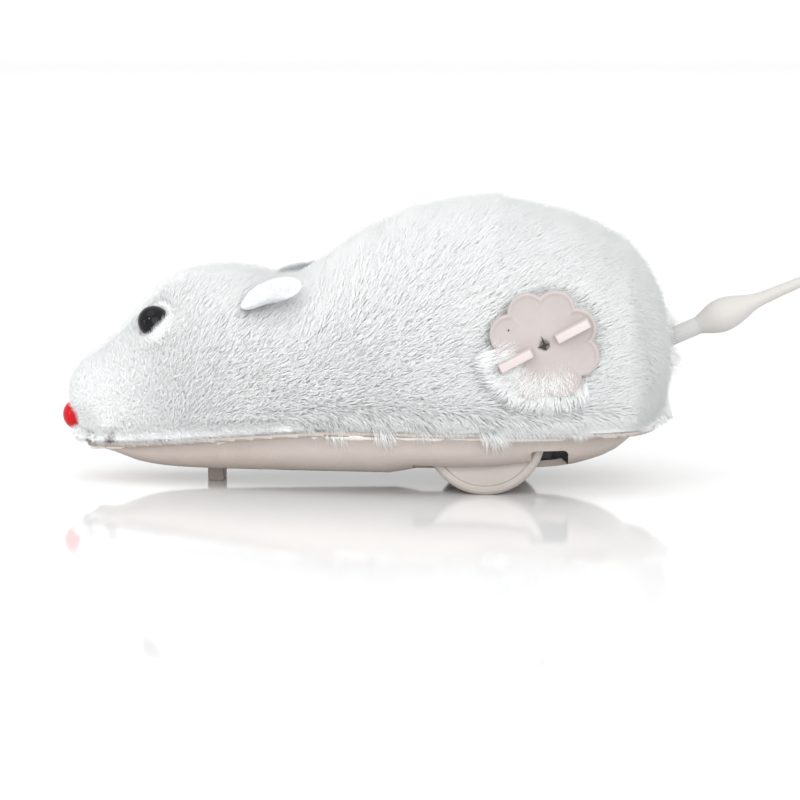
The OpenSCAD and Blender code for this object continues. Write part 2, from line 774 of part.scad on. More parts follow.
// Ring of the tail's tube at station i, square to its run
function tail_ring(i) =
    let (a = TAIL[max(i - 1, 0)], b = TAIL[min(i + 1, len(TAIL) - 1)],
         t = i == 0 ? tail_slope : atan2(b[1] - a[1], b[0] - a[0]),
         r = TAIL[i][2] * tail_bulb_d / 2,
         c = tail_start + [TAIL[i][0], TAIL[i][1]])
    [for (k = [0 : tail_sides - 1])
        let (q = 360 * k / tail_sides)
        [c[0] - r * sin(q) * sin(t), r * cos(q), c[1] + r * sin(q) * cos(t)]];
module tail() {
    n = len(TAIL);
    m = tail_sides;
    color([0.90, 0.88, 0.87])
        difference() {
            polyhedron([for (i = [0 : n - 1]) each tail_ring(i)],
                       concat([[for (k = [0 : m - 1]) k]],
                              [[for (k = [m - 1 : -1 : 0]) (n - 1) * m + k]],
                              [for (i = [0 : n - 2], k = [0 : m - 1])
                               let (a = i * m + k, b = i * m + (k + 1) % m)
                               each [[a, a + m, b + m], [a, b + m, b]]]));
            translate([pivot_x, 0, pivot_z])
                rotate([0, 90 - tail_slope, 0])
                    cylinder(r = pin_r, h = root_len + tenon_len);
        }
}

base_tub();
front_foot();
upper_shell();
plush_skin();
ear(-1);  // ear_left
ear(1);  // ear_right
eye(-1);  // eye_left
eye(1);  // eye_right
nose();
motor_plate(-1);  // motor_plate_left
motor_plate(1);  // motor_plate_right
motor_pillars();
motor_feet();
motor_screws();
base_screws();
mainspring();
arbor();
ratchet_wheel();
winding_key();
main_gear();
click_spring();
second_shaft();
second_gear();
axle();
axle_pinion();
wheel(-1);  // wheel_left
wheel(1);  // wheel_right
tail_post();
tail_pin();
tail_spigot();
tail();
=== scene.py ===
# Wind-up plush mouse: fur coat, felt ears, bead eyes and nose, moulded base, flower key, clockwork and tail.
import json
import math
import bmesh
import bpy
import numpy as np
from mathutils import Matrix, Vector, noise
from mathutils.bvhtree import BVHTree


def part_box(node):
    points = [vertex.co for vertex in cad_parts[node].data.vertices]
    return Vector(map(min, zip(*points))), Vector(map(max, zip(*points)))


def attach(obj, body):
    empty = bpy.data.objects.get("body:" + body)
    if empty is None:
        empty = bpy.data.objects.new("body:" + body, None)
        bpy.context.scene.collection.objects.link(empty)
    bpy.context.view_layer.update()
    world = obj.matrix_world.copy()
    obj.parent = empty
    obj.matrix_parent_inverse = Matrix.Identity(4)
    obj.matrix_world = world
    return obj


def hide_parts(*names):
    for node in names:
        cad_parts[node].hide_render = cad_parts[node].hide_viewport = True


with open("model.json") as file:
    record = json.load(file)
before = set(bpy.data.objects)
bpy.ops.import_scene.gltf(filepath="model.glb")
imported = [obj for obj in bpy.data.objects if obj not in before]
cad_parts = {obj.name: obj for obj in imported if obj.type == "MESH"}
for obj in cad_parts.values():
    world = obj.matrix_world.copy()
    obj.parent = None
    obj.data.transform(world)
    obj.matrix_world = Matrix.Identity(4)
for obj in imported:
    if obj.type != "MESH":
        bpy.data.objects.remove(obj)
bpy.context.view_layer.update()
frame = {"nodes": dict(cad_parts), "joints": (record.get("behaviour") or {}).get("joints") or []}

mm = 0.001
scene = bpy.context.scene
print("frame loaded:", len(frame["nodes"]), "parts")


# small helpers
def ease(low, high, value):
    share = np.clip((value - low) / (high - low), 0, 1)
    return share * share * (3 - 2 * share)


def put(tree, kind, inputs=None, **settings):
    # adds a node, sets its options, then fills or links its sockets
    made = tree.nodes.new(kind)
    for key, value in settings.items():
        setattr(made, key, value)
    for key, value in (inputs or {}).items():
        if isinstance(value, bpy.types.NodeSocket):
            tree.links.new(value, made.inputs[key])
        else:
            made.inputs[key].default_value = value
    return made


def link(piece):
    scene.collection.objects.link(piece)
    return piece


def meshPiece(name, vertices, faces):
    mesh = bpy.data.meshes.new(name)
    mesh.from_pydata([tuple(v) for v in vertices], [], [tuple(f) for f in faces])
    mesh.validate()
    mesh.update()
    return link(bpy.data.objects.new(name, mesh))


def outward(mesh):
    shape = bmesh.new()
    shape.from_mesh(mesh)
    bmesh.ops.remove_doubles(shape, verts=shape.verts, dist=2e-6)
    bmesh.ops.recalc_face_normals(shape, faces=shape.faces)
    shape.to_mesh(mesh)
    shape.free()


def shadeSmooth(piece, degrees=35):
    piece.data.polygons.foreach_set("use_smooth", [True] * len(piece.data.polygons))
    piece.data.set_sharp_from_angle(angle=math.radians(degrees))
    piece.data.update()


def applied(piece):
    # turns the piece's own modifiers into plain mesh
    bpy.context.view_layer.update()
    done = bpy.data.meshes.new_from_object(piece.evaluated_get(bpy.context.evaluated_depsgraph_get()))
    old = piece.data
    piece.modifiers.clear()
    piece.data = done
    done.name = piece.name
    bpy.data.meshes.remove(old)


def cleanCopy(nodeName, name, flatten=True):
    mesh = frame["nodes"][nodeName].data.copy()
    mesh.name = name
    mesh.materials.clear()
    shape = bmesh.new()
    shape.from_mesh(mesh)
    bmesh.ops.remove_doubles(shape, verts=shape.verts, dist=2e-6)
    if flatten:
        bmesh.ops.dissolve_limit(shape, angle_limit=math.radians(0.6), verts=shape.verts, edges=shape.edges)
    shape.to_mesh(mesh)
    shape.free()
    return link(bpy.data.objects.new(name, mesh))


def dress(piece, material, body, slotName, *nodeNames):
    piece.data.materials.clear()
    piece.data.materials.append(material)
    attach(piece, body)
    if nodeNames:
        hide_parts(*nodeNames)
    return piece


def lathe(name, profile, centre, axis, sides=48):
    # profile is (distance along the axis, radius) from one pole to the other
    turn = Vector((0, 0, 1)).rotation_difference(Vector(axis)).to_matrix()
    vertices, faces = [], []
    for along, radius in profile:
        for k in range(sides):
            a = 2 * math.pi * k / sides
            vertices.append(Vector(centre) + turn @ Vector((radius * math.cos(a), radius * math.sin(a), along)))
    for i in range(len(profile) - 1):
        for k in range(sides):
            a, b = i * sides + k, i * sides + (k + 1) % sides
            faces.append((a, b, b + sides, a + sides))
    faces.append(tuple(range(sides)))
    faces.append(tuple((len(profile) - 1) * sides + k for k in range(sides)))
    piece = meshPiece(name, vertices, faces)
    outward(piece.data)
    shadeSmooth(piece, 40)
    return piece


# material groups
def groupSockets(group, inputs, outputs):
    for name, kind, value in inputs:
        socket = group.interface.new_socket(name=name, in_out="INPUT", socket_type=kind)
        if value is not None:
            socket.default_value = value
    for name, kind in outputs:
        group.interface.new_socket(name=name, in_out="OUTPUT", socket_type=kind)
    return group.nodes.new("NodeGroupInput").outputs, group.nodes.new("NodeGroupOutput").inputs


def mouldedSkinGroup():
    # injection-moulded plastic: faint clouding, fine grain, and painted shade that darkens it towards the bottom
    group = bpy.data.node_groups.new("mouldedSkin", "ShaderNodeTree")
    given, out = groupSockets(group, [
        ("Colour", "NodeSocketColor", (0.8, 0.8, 0.8, 1)), ("Shade", "NodeSocketColor", (0.6, 0.6, 0.6, 1)),
        ("Cloud Scale", "NodeSocketFloat", 90.0), ("Grain Scale", "NodeSocketFloat", 1400.0),
        ("Roughness", "NodeSocketFloat", 0.4), ("Relief", "NodeSocketFloat", 0.1),
        ("Low", "NodeSocketFloat", 0.004), ("High", "NodeSocketFloat", 0.012)],
        [("Colour", "NodeSocketColor"), ("Roughness", "NodeSocketFloat"), ("Normal", "NodeSocketVector")])
    place = put(group, "ShaderNodeTexCoord").outputs["Object"]
    cloud = put(group, "ShaderNodeTexNoise", {"Vector": place, "Scale": given["Cloud Scale"], "Detail": 4.0,
                                              "Roughness": 0.6})
    grain = put(group, "ShaderNodeTexNoise", {"Vector": place, "Scale": given["Grain Scale"], "Detail": 3.0})
    height = put(group, "ShaderNodeSeparateXYZ", {"Vector": place}).outputs["Z"]
    # painted shade: darker towards the bottom, from the High height down to the Low one
    low = put(group, "ShaderNodeMapRange", {"Value": height, "From Min": given["High"], "From Max": given["Low"],
                                            "To Min": 0.0, "To Max": 0.55}, interpolation_type="SMOOTHSTEP")
    patch = put(group, "ShaderNodeMapRange", {"Value": cloud.outputs["Fac"], "From Min": 0.35, "From Max": 0.75,
                                              "To Min": 0.0, "To Max": 0.35})
    speck = put(group, "ShaderNodeMapRange", {"Value": grain.outputs["Fac"], "From Min": 0.3, "From Max": 0.7,
                                              "To Min": 0.0, "To Max": 0.14})
    total = put(group, "ShaderNodeMath", {0: low.outputs["Result"], 1: patch.outputs["Result"]}, operation="ADD")
    total = put(group, "ShaderNodeMath", {0: total.outputs[0], 1: speck.outputs["Result"]}, operation="ADD",
                use_clamp=True)
    mixed = put(group, "ShaderNodeMix", {"Factor": total.outputs[0], "A": given["Colour"], "B": given["Shade"]},
                data_type="RGBA")
    wear = put(group, "ShaderNodeMath", {0: cloud.outputs["Fac"], 1: 0.22, 2: given["Roughness"]},
               operation="MULTIPLY_ADD")
    bump = put(group, "ShaderNodeBump", {"Height": grain.outputs["Fac"], "Strength": given["Relief"],
                                         "Distance": 0.2 * mm})
    group.links.new(mixed.outputs["Result"], out["Colour"])
    group.links.new(wear.outputs[0], out["Roughness"])
    group.links.new(bump.outputs["Normal"], out["Normal"])
    return group


def drawnMetalGroup():
    # rolled or stamped metal: streaks along X, soft stains
    group = bpy.data.node_groups.new("drawnMetal", "ShaderNodeTree")
    given, out = groupSockets(group, [
        ("Colour", "NodeSocketColor", (0.6, 0.6, 0.6, 1)), ("Stain", "NodeSocketColor", (0.4, 0.4, 0.4, 1)),
        ("Roughness", "NodeSocketFloat", 0.3)],
        [("Colour", "NodeSocketColor"), ("Roughness", "NodeSocketFloat"), ("Height", "NodeSocketFloat")])
    place = put(group, "ShaderNodeTexCoord").outputs["Object"]
    drawn = put(group, "ShaderNodeMapping", {"Vector": place, "Scale": (120.0, 1800.0, 1800.0)})
    streak = put(group, "ShaderNodeTexNoise", {"Vector": drawn.outputs["Vector"], "Scale": 1.0, "Detail": 3.0})
    stain = put(group, "ShaderNodeTexNoise", {"Vector": place, "Scale": 160.0, "Detail": 5.0, "Roughness": 0.65})
    amount = put(group, "ShaderNodeMapRange", {"Value": stain.outputs["Fac"], "From Min": 0.42, "From Max": 0.72})
    mixed = put(group, "ShaderNodeMix", {"Factor": amount.outputs["Result"], "A": given["Colour"], "B": given["Stain"]},
                data_type="RGBA")
    rough = put(group, "ShaderNodeMath", {0: streak.outputs["Fac"], 1: 0.3, 2: given["Roughness"]},
                operation="MULTIPLY_ADD")
    group.links.new(mixed.outputs["Result"], out["Colour"])
    group.links.new(rough.outputs[0], out["Roughness"])
    group.links.new(streak.outputs["Fac"], out["Height"])
    return group


mouldedSkin = mouldedSkinGroup()
drawnMetal = drawnMetalGroup()


def startMaterial(name, **sockets):
    material = bpy.data.materials.new(name)
    material.use_nodes = True
    shader = material.node_tree.nodes["Principled BSDF"]
    for key, value in sockets.items():
        shader.inputs[key.replace("_", " ")].default_value = value
    return material, material.node_tree, shader


# heights between which painted shade darkens a moulding towards the bottom, in metres; one without it has them below
# the floor
noLowShade, baseLowShade, wheelLowShade = (-0.02, -0.01), (0.0035, 0.0125), (-0.001, 0.011)


def plastic(name, colour, shade, rough, lowShade=noLowShade, relief=0.12, cloud=90.0, **sockets):
    material, tree, shader = startMaterial(name, **sockets)
    skin = put(tree, "ShaderNodeGroup", node_tree=mouldedSkin)
    for key, value in {"Colour": (*colour, 1), "Shade": (*shade, 1), "Roughness": rough, "Relief": relief,
                       "Cloud Scale": cloud, "Low": lowShade[0], "High": lowShade[1]}.items():
        skin.inputs[key].default_value = value
    tree.links.new(skin.outputs["Colour"], shader.inputs["Base Color"])
    tree.links.new(skin.outputs["Roughness"], shader.inputs["Roughness"])
    tree.links.new(skin.outputs["Normal"], shader.inputs["Normal"])
    return material


def metal(name, colour, stain, rough):
    material, tree, shader = startMaterial(name, Metallic=1.0)
    skin = put(tree, "ShaderNodeGroup", node_tree=drawnMetal)
    for key, value in {"Colour": (*colour, 1), "Stain": (*stain, 1), "Roughness": rough}.items():
        skin.inputs[key].default_value = value
    bump = put(tree, "ShaderNodeBump", {"Height": skin.outputs["Height"], "Strength": 0.15, "Distance": 0.05 * mm})
    tree.links.new(skin.outputs["Colour"], shader.inputs["Base Color"])
    tree.links.new(skin.outputs["Roughness"], shader.inputs["Roughness"])
    tree.links.new(bump.outputs["Normal"], shader.inputs["Normal"])
    return material


bodyPlastic = plastic("bodyPlastic", (0.475, 0.425, 0.395), (0.33, 0.275, 0.245), 0.34, baseLowShade,
                      Specular_IOR_Level=0.4)
innerPlastic = plastic("innerPlastic", (0.80, 0.74, 0.71), (0.66, 0.60, 0.57), 0.5)
wheelPlastic = plastic("wheelPlastic", (0.47, 0.43, 0.40), (0.37, 0.33, 0.30), 0.38, wheelLowShade)
keyPlastic = plastic("keyPlastic", (0.43, 0.385, 0.375), (0.36, 0.315, 0.30), 0.36, relief=0.2, cloud=170.0)
# painted light: the grips are the key's own plastic, given a lighter colour where their raised faces catch the light
gripPlastic = plastic("gripPlastic", (0.56, 0.505, 0.49), (0.50, 0.44, 0.42), 0.3)
tailPlastic = plastic("tailPlastic", (0.50, 0.485, 0.465), (0.42, 0.405, 0.385), 0.42, cloud=120.0)
rootPlastic = plastic("rootPlastic", (0.50, 0.50, 0.49), (0.40, 0.40, 0.39), 0.4)
steel = metal("steel", (0.62, 0.63, 0.65), (0.42, 0.42, 0.43), 0.25)
blueSteel = metal("blueSteel", (0.20, 0.23, 0.30), (0.34, 0.30, 0.26), 0.28)
# painted shade: the motor plates are steel darkened for the shade inside the body
plateSteel = metal("plateSteel", (0.16, 0.16, 0.17), (0.10, 0.10, 0.10), 0.55)
brass = metal("brass", (0.80, 0.62, 0.30), (0.52, 0.37, 0.17), 0.24)
# painted light: the tray's own plastic in a lighter colour, for the lit upper rim
lipPlastic = plastic("lipPlastic", (0.72, 0.665, 0.63), (0.62, 0.56, 0.53), 0.4)
# painted shadow: near-black plastic laid where recesses lie in shade
wellShade = plastic("wellShade", (0.035, 0.026, 0.024), (0.02, 0.015, 0.014), 0.7)


def beadGloss(name, colour, deep, rough):
    # a polished bead: colour swirls a little, with hair-thin scratches in the polish
    material, tree, shader = startMaterial(name, Specular_IOR_Level=0.14)
    place = put(tree, "ShaderNodeTexCoord").outputs["Object"]
    swirl = put(tree, "ShaderNodeTexNoise", {"Vector": place, "Scale": 260.0, "Detail": 4.0})
    mixed = put(tree, "ShaderNodeMix", {"Factor": swirl.outputs["Fac"], "A": (*colour, 1), "B": (*deep, 1)},
                data_type="RGBA")
    worn = put(tree, "ShaderNodeTexNoise", {"Vector": place, "Scale": 1500.0, "Detail": 2.0})
    polish = put(tree, "ShaderNodeMapRange", {"Value": worn.outputs["Fac"], "To Min": rough, "To Max": rough + 0.08})
    tree.links.new(mixed.outputs["Result"], shader.inputs["Base Color"])
    tree.links.new(polish.outputs["Result"], shader.inputs["Roughness"])
    return material


eyeGloss = beadGloss("eyeGloss", (0.006, 0.006, 0.008), (0.015, 0.014, 0.016), 0.06)
noseGloss = beadGloss("noseGloss", (0.62, 0.012, 0.018), (0.42, 0.004, 0.01), 0.10)


def toneRamp(tree, value, *stops):
    # colour ramp through the given (position, colour) stops, first and last first
    tone = put(tree, "ShaderNodeValToRGB", {"Fac": value})
    for stop, (position, colour) in zip(tone.color_ramp.elements, stops[:2]):
        stop.position, stop.color = position, (*colour, 1)
    for position, colour in stops[2:]:
        tone.color_ramp.elements.new(position).color = (*colour, 1)
    return tone


def feltMaterial():
    material, tree, shader = startMaterial("whiteFelt", Sheen_Weight=0.08, Sheen_Roughness=0.5, Specular_IOR_Level=0.2,
                                           Roughness=0.9)
    place = put(tree, "ShaderNodeTexCoord").outputs["Object"]
    matted = put(tree, "ShaderNodeTexNoise", {"Vector": place, "Scale": 900.0, "Detail": 6.0, "Roughness": 0.7,
                                              "Distortion": 0.8})
    broad = put(tree, "ShaderNodeTexNoise", {"Vector": place, "Scale": 150.0, "Detail": 2.0})
    both = put(tree, "ShaderNodeMath", {0: matted.outputs["Fac"], 1: broad.outputs["Fac"]}, operation="MULTIPLY")
    tone = toneRamp(tree, both.outputs[0], (0.1, (0.52, 0.535, 0.55)), (0.35, (0.71, 0.725, 0.74)))
    bump = put(tree, "ShaderNodeBump", {"Height": matted.outputs["Fac"], "Strength": 0.6, "Distance": 0.3 * mm})
    tree.links.new(tone.outputs["Color"], shader.inputs["Base Color"])
    tree.links.new(bump.outputs["Normal"], shader.inputs["Normal"])
    return material


def furMaterial():
    # read off the hair's own map: across it is the hair's shade, up it is the way from root to tip
    material, tree, shader = startMaterial("whiteFur", Sheen_Weight=0.2, Sheen_Roughness=0.6, Specular_IOR_Level=0.25,
                                           Roughness=0.7)
    spot = put(tree, "ShaderNodeSeparateXYZ", {"Vector": put(tree, "ShaderNodeUVMap", uv_map="OFBake").outputs["UV"]})
    shade = toneRamp(tree, spot.outputs["X"], (0.0, (0.035, 0.026, 0.018)), (1.0, (0.99, 0.998, 1.0)),
                     (0.1, (0.10, 0.08, 0.06)), (0.16, (0.78, 0.80, 0.80)), (0.42, (0.955, 0.972, 0.975)),
                     (0.65, (0.983, 0.996, 0.998)))
    # painted shade: each hair darkens a little towards its root, where the pile lies in shade
    depth = put(tree, "ShaderNodeMapRange", {"Value": spot.outputs["Y"], "From Max": 0.5, "To Min": 0.95,
                                             "To Max": 1.0})
    deep = put(tree, "ShaderNodeMix", {"Factor": 1.0, "A": shade.outputs["Color"], "B": depth.outputs["Result"]},
               data_type="RGBA", blend_type="MULTIPLY")
    tree.links.new(deep.outputs["Result"], shader.inputs["Base Color"])
    return material


def backingMaterial():
    # the knitted cloth that the pile grows from
    material, tree, shader = startMaterial("pileBacking", Specular_IOR_Level=0.15, Roughness=0.9, Sheen_Weight=0.3)
    place = put(tree, "ShaderNodeTexCoord").outputs["Object"]
    pile = put(tree, "ShaderNodeTexNoise", {"Vector": place, "Scale": 1600.0, "Detail": 3.0, "Distortion": 0.5})
    tone = toneRamp(tree, pile.outputs["Fac"], (0.3, (0.88, 0.89, 0.89)), (0.7, (0.96, 0.97, 0.97)))
    bump = put(tree, "ShaderNodeBump", {"Height": pile.outputs["Fac"], "Strength": 0.8, "Distance": 0.4 * mm})
    tree.links.new(tone.outputs["Color"], shader.inputs["Base Color"])
    tree.links.new(bump.outputs["Normal"], shader.inputs["Normal"])
    return material


whiteFelt, whiteFur, pileBacking = feltMaterial(), furMaterial(), backingMaterial()
print("materials ready")

# plush: a backing cloth stretched over the shell, and the pile that grows on it
plush = {
    "voxel": 0.8 * mm, "smoothing": 7,
    "pileDepth": (0.75, 1.75),         # mm from the pile's tips down to the cloth, at the snout and on the back
    "depthFrom": (-84, -48),           # where along the body it goes from one to the other
    "edgeDepth": 0.55,                 # at the lower edge
    "hairPerHeight": 2.45,             # a lying hair is this much longer than the pile is deep
    "strandWidth": 0.034,
    "perSquareMetre": 2.1e7,
    "bands": (-96, -50, -26, -3, 18, 50),
    "lidSlant": (0.695, -0.722), "lidFrom": (0.1, 1.3), "lidTo": (2.6, 6.0), "lidRise": 2.3, "lidSpread": 3.4,
    "chinDepth": 1.5, "rumpDepth": 1.6, "dipDepth": 1.3, "rumpTuck": 1.9, "backDepth": 1.0,
}
eyeBox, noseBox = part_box("eye_left"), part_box("nose")
eyeSize = 6.6 * mm
eyeCentre = Vector((eyeBox[0].x + eyeSize / 2, eyeBox[0].y + eyeSize / 2, eyeBox[1].z - eyeSize / 2))
noseCentre = Vector((noseBox[0].x + eyeSize / 2, 0, noseBox[0].z + eyeSize / 2))
keyCentre = Vector(frame["joints"][[j["name"] for j in frame["joints"]].index("winding")]["pos_m"])


def arrays(mesh):
    place = np.empty(len(mesh.vertices) * 3)
    mesh.vertices.foreach_get("co", place)
    normal = np.empty(len(mesh.vertices) * 3)
    mesh.vertices.foreach_get("normal", normal)
    return place.reshape(-1, 3), normal.reshape(-1, 3)


def rimHeight(x):
    # height of the lower edge of the fur, in mm
    return np.interp(x, [-95, -84, -70.5, -61, -46, -33, -20, 50], [8.7, 8.7, 9.8, 10.6, 12.1, 13.3, 13.5, 13.5])


skin = cleanCopy("plush_skin", "plushBacking", flatten=False)
remesh = skin.modifiers.new("evenCloth", "REMESH")
remesh.mode, remesh.voxel_size = "VOXEL", plush["voxel"]
soften = skin.modifiers.new("soften", "SMOOTH")
soften.factor, soften.iterations = 0.5, plush["smoothing"]
applied(skin)
place, normal = arrays(skin.data)
shellTree = BVHTree.FromObject(cleanCopy("upper_shell", "shellGauge", flatten=False), bpy.context.evaluated_depsgraph_get())
bpy.data.objects.remove(bpy.data.objects["shellGauge"])
nearest = [shellTree.find_nearest(Vector(p)) for p in place]
gap = np.array([n[3] for n in nearest])
outer = ease(1.3 * mm, 2.0 * mm, gap)
x, y, z = (place / mm).T
aboveRim = z - rimHeight(x)
depth = plush["pileDepth"][0] + (plush["pileDepth"][1] - plush["pileDepth"][0]) * ease(*plush["depthFrom"], x)
depth = plush["edgeDepth"] + (depth - plush["edgeDepth"]) * ease(0.3, 3.2, aboveRim)
pileHeight = depth.copy()
eyeX, eyeZ = x - eyeCentre.x / mm, z - eyeCentre.z / mm
eyeDistance = np.hypot(np.hypot(eyeX, abs(y) - abs(eyeCentre.y / mm)), eyeZ)
slantX, slantZ = plush["lidSlant"]
past, beside = eyeX * slantX + eyeZ * slantZ, eyeX * slantZ - eyeZ * slantX
lid = ease(*plush["lidFrom"], past) * (1 - ease(*plush["lidTo"], past)) * np.exp(-(beside / plush["lidSpread"]) ** 2)
lid *= 1 - ease(7, 9, eyeDistance)
depth += plush["chinDepth"] * (1 - ease(-87, -80, x)) * (1 - ease(12, 19, z))
depth += plush["rumpDepth"] * ease(30, 39, x) * (1 - ease(17, 30, z)) + plush["backDepth"] * ease(27, 37, x)
depth *= 1 - 0.6 * (1 - ease(-88, -82, x)) * ease(14, 19, z)
depth += plush["dipDepth"] * np.exp(-((x + 43.5) / 6.5) ** 2) * ease(0.2, 0.7, normal[:, 2])
depth *= 1 - ease(0.35, 0.8, -normal[:, 2])                              # the lower edge stays where it is
fromNose = np.linalg.norm(place - np.array(noseCentre), axis=1) / mm
muzzle = (1 - ease(4.0, 6.5, fromNose))[:, None]                         # round the nose it goes straight back
inwards = normal * (1 - muzzle) + np.array([-1.0, 0, 0.0]) * muzzle
inwards /= np.maximum(np.linalg.norm(inwards, axis=1), 1e-6)[:, None]
moved = place + inwards * ((lid * plush["lidRise"] - depth) * outer * mm)[:, None]
moved[:, 0] -= plush["rumpTuck"] * mm * (1 - ease(12.5, 19.5, z)) * ease(20, 38, x)
skin.data.vertices.foreach_set("co", moved.ravel())
skin.data.update()
shadeSmooth(skin, 60)
skinPlace, skinNormal = arrays(skin.data)
print("plush backing:", len(skin.data.polygons), "faces")


def combField(point, facing):
    # which way the nap lies: back and up on the flanks, steeper on the face, straight back on top, down at the edge
    x, y, z = (point / mm).T
    body = ease(-78, -46, x)
    lay = np.stack([0.42 + 0.46 * body, 0 * x, 0.9 - 0.42 * body], 1)
    top = ease(0.45, 0.9, facing[:, 2])[:, None]
    lay = lay * (1 - top) + np.array([1.0, 0, 0.0]) * top
    rear = (ease(0.55, 0.9, facing[:, 0]))[:, None]
    lay = lay * (1 - rear) + np.array([0.1, 0, -1.0]) * rear
    low = np.maximum((1 - ease(1.0, 6.5, z - rimHeight(x))) * ease(-52, -30, x), 1 - ease(0.3, 1.6, z - rimHeight(x)))[:, None]
    lay = lay * (1 - low) + np.array([0.55, 0, -0.85]) * low
    lay -= facing * (lay * facing).sum(1)[:, None]
    return lay / np.maximum(np.linalg.norm(lay, axis=1), 1e-9)[:, None]


comb = combField(skinPlace, skinNormal)
sx, sy, sz = (skinPlace / mm).T
onTop = sz - rimHeight(sx)
hair = np.maximum(pileHeight, 0.5) * plush["hairPerHeight"]
hair *= 0.5 + 0.5 * ease(3.3, 6.5, eyeDistance)                         # clipped short round the eyes
hair *= 1 - 0.35 * ease(32, 42, sx)
keyDistance = np.hypot(sx - keyCentre.x / mm, sz - keyCentre.z / mm)
underKey = (sy < 0) * (1 - ease(9.0, 11.0, keyDistance))
hair *= 1 - 0.5 * underKey                                               # pressed down behind the key
noseDistance = np.linalg.norm(skinPlace - np.array(noseCentre), axis=1) / mm
hair *= 0.62 + 0.38 * ease(3.2, 6.0, noseDistance)
hair *= 1 + 0.45 * (1 - ease(0, 5, onTop)) * ease(-45, -25, sx) * (1 - ease(14, 24, sx))
speck = 0.05 * ease(-56, -34, sx) * (1 - ease(8, 18, sx)) * ease(0.2, 1.0, onTop) * (1 - ease(2.5, 5.5, onTop))
patchy = np.array([noise.noise(Vector(p) * 210) for p in skinPlace])
speck += 0.5 * (1 - ease(-68, -56, sx)) * (1 - ease(0.8, 4.4, onTop))
speck *= ease(-0.1, 0.35, patchy) * 2.2


def strand(name, width, bend=0.0, rows=((0.0, 1.0),)):
    # one hair: a closed spike, one unit long from its root along +Z, bent over to +X
    vertices, faces, along, around = [], [], [], []
    for t, thick in rows:
        for k in range(3):
            a = 2 * math.pi * k / 3
            vertices.append((bend * t * t + width / 2 * thick * math.cos(a), width / 2 * thick * math.sin(a), t))
            along.append(t if (t or k) else 0.04)
            around.append(k / 2)
    vertices.append((bend, 0, 1))
    along.append(1.0)
    around.append(0.5)
    last = 3 * len(rows) - 3
    for k in range(3):
        faces += [(i + k, i + (k + 1) % 3, i + 3 + (k + 1) % 3, i + 3 + k) for i in range(0, last, 3)]
        faces.append((last + k, last + (k + 1) % 3, last + 3))
    faces.append((2, 1, 0))
    piece = meshPiece(name, vertices, faces)
    for key, values in (("along", along), ("around", around)):
        piece.data.attributes.new(key, "FLOAT", "POINT").data.foreach_set("value", values)
    piece.data.polygons.foreach_set("use_smooth", [True] * len(faces))
    return piece


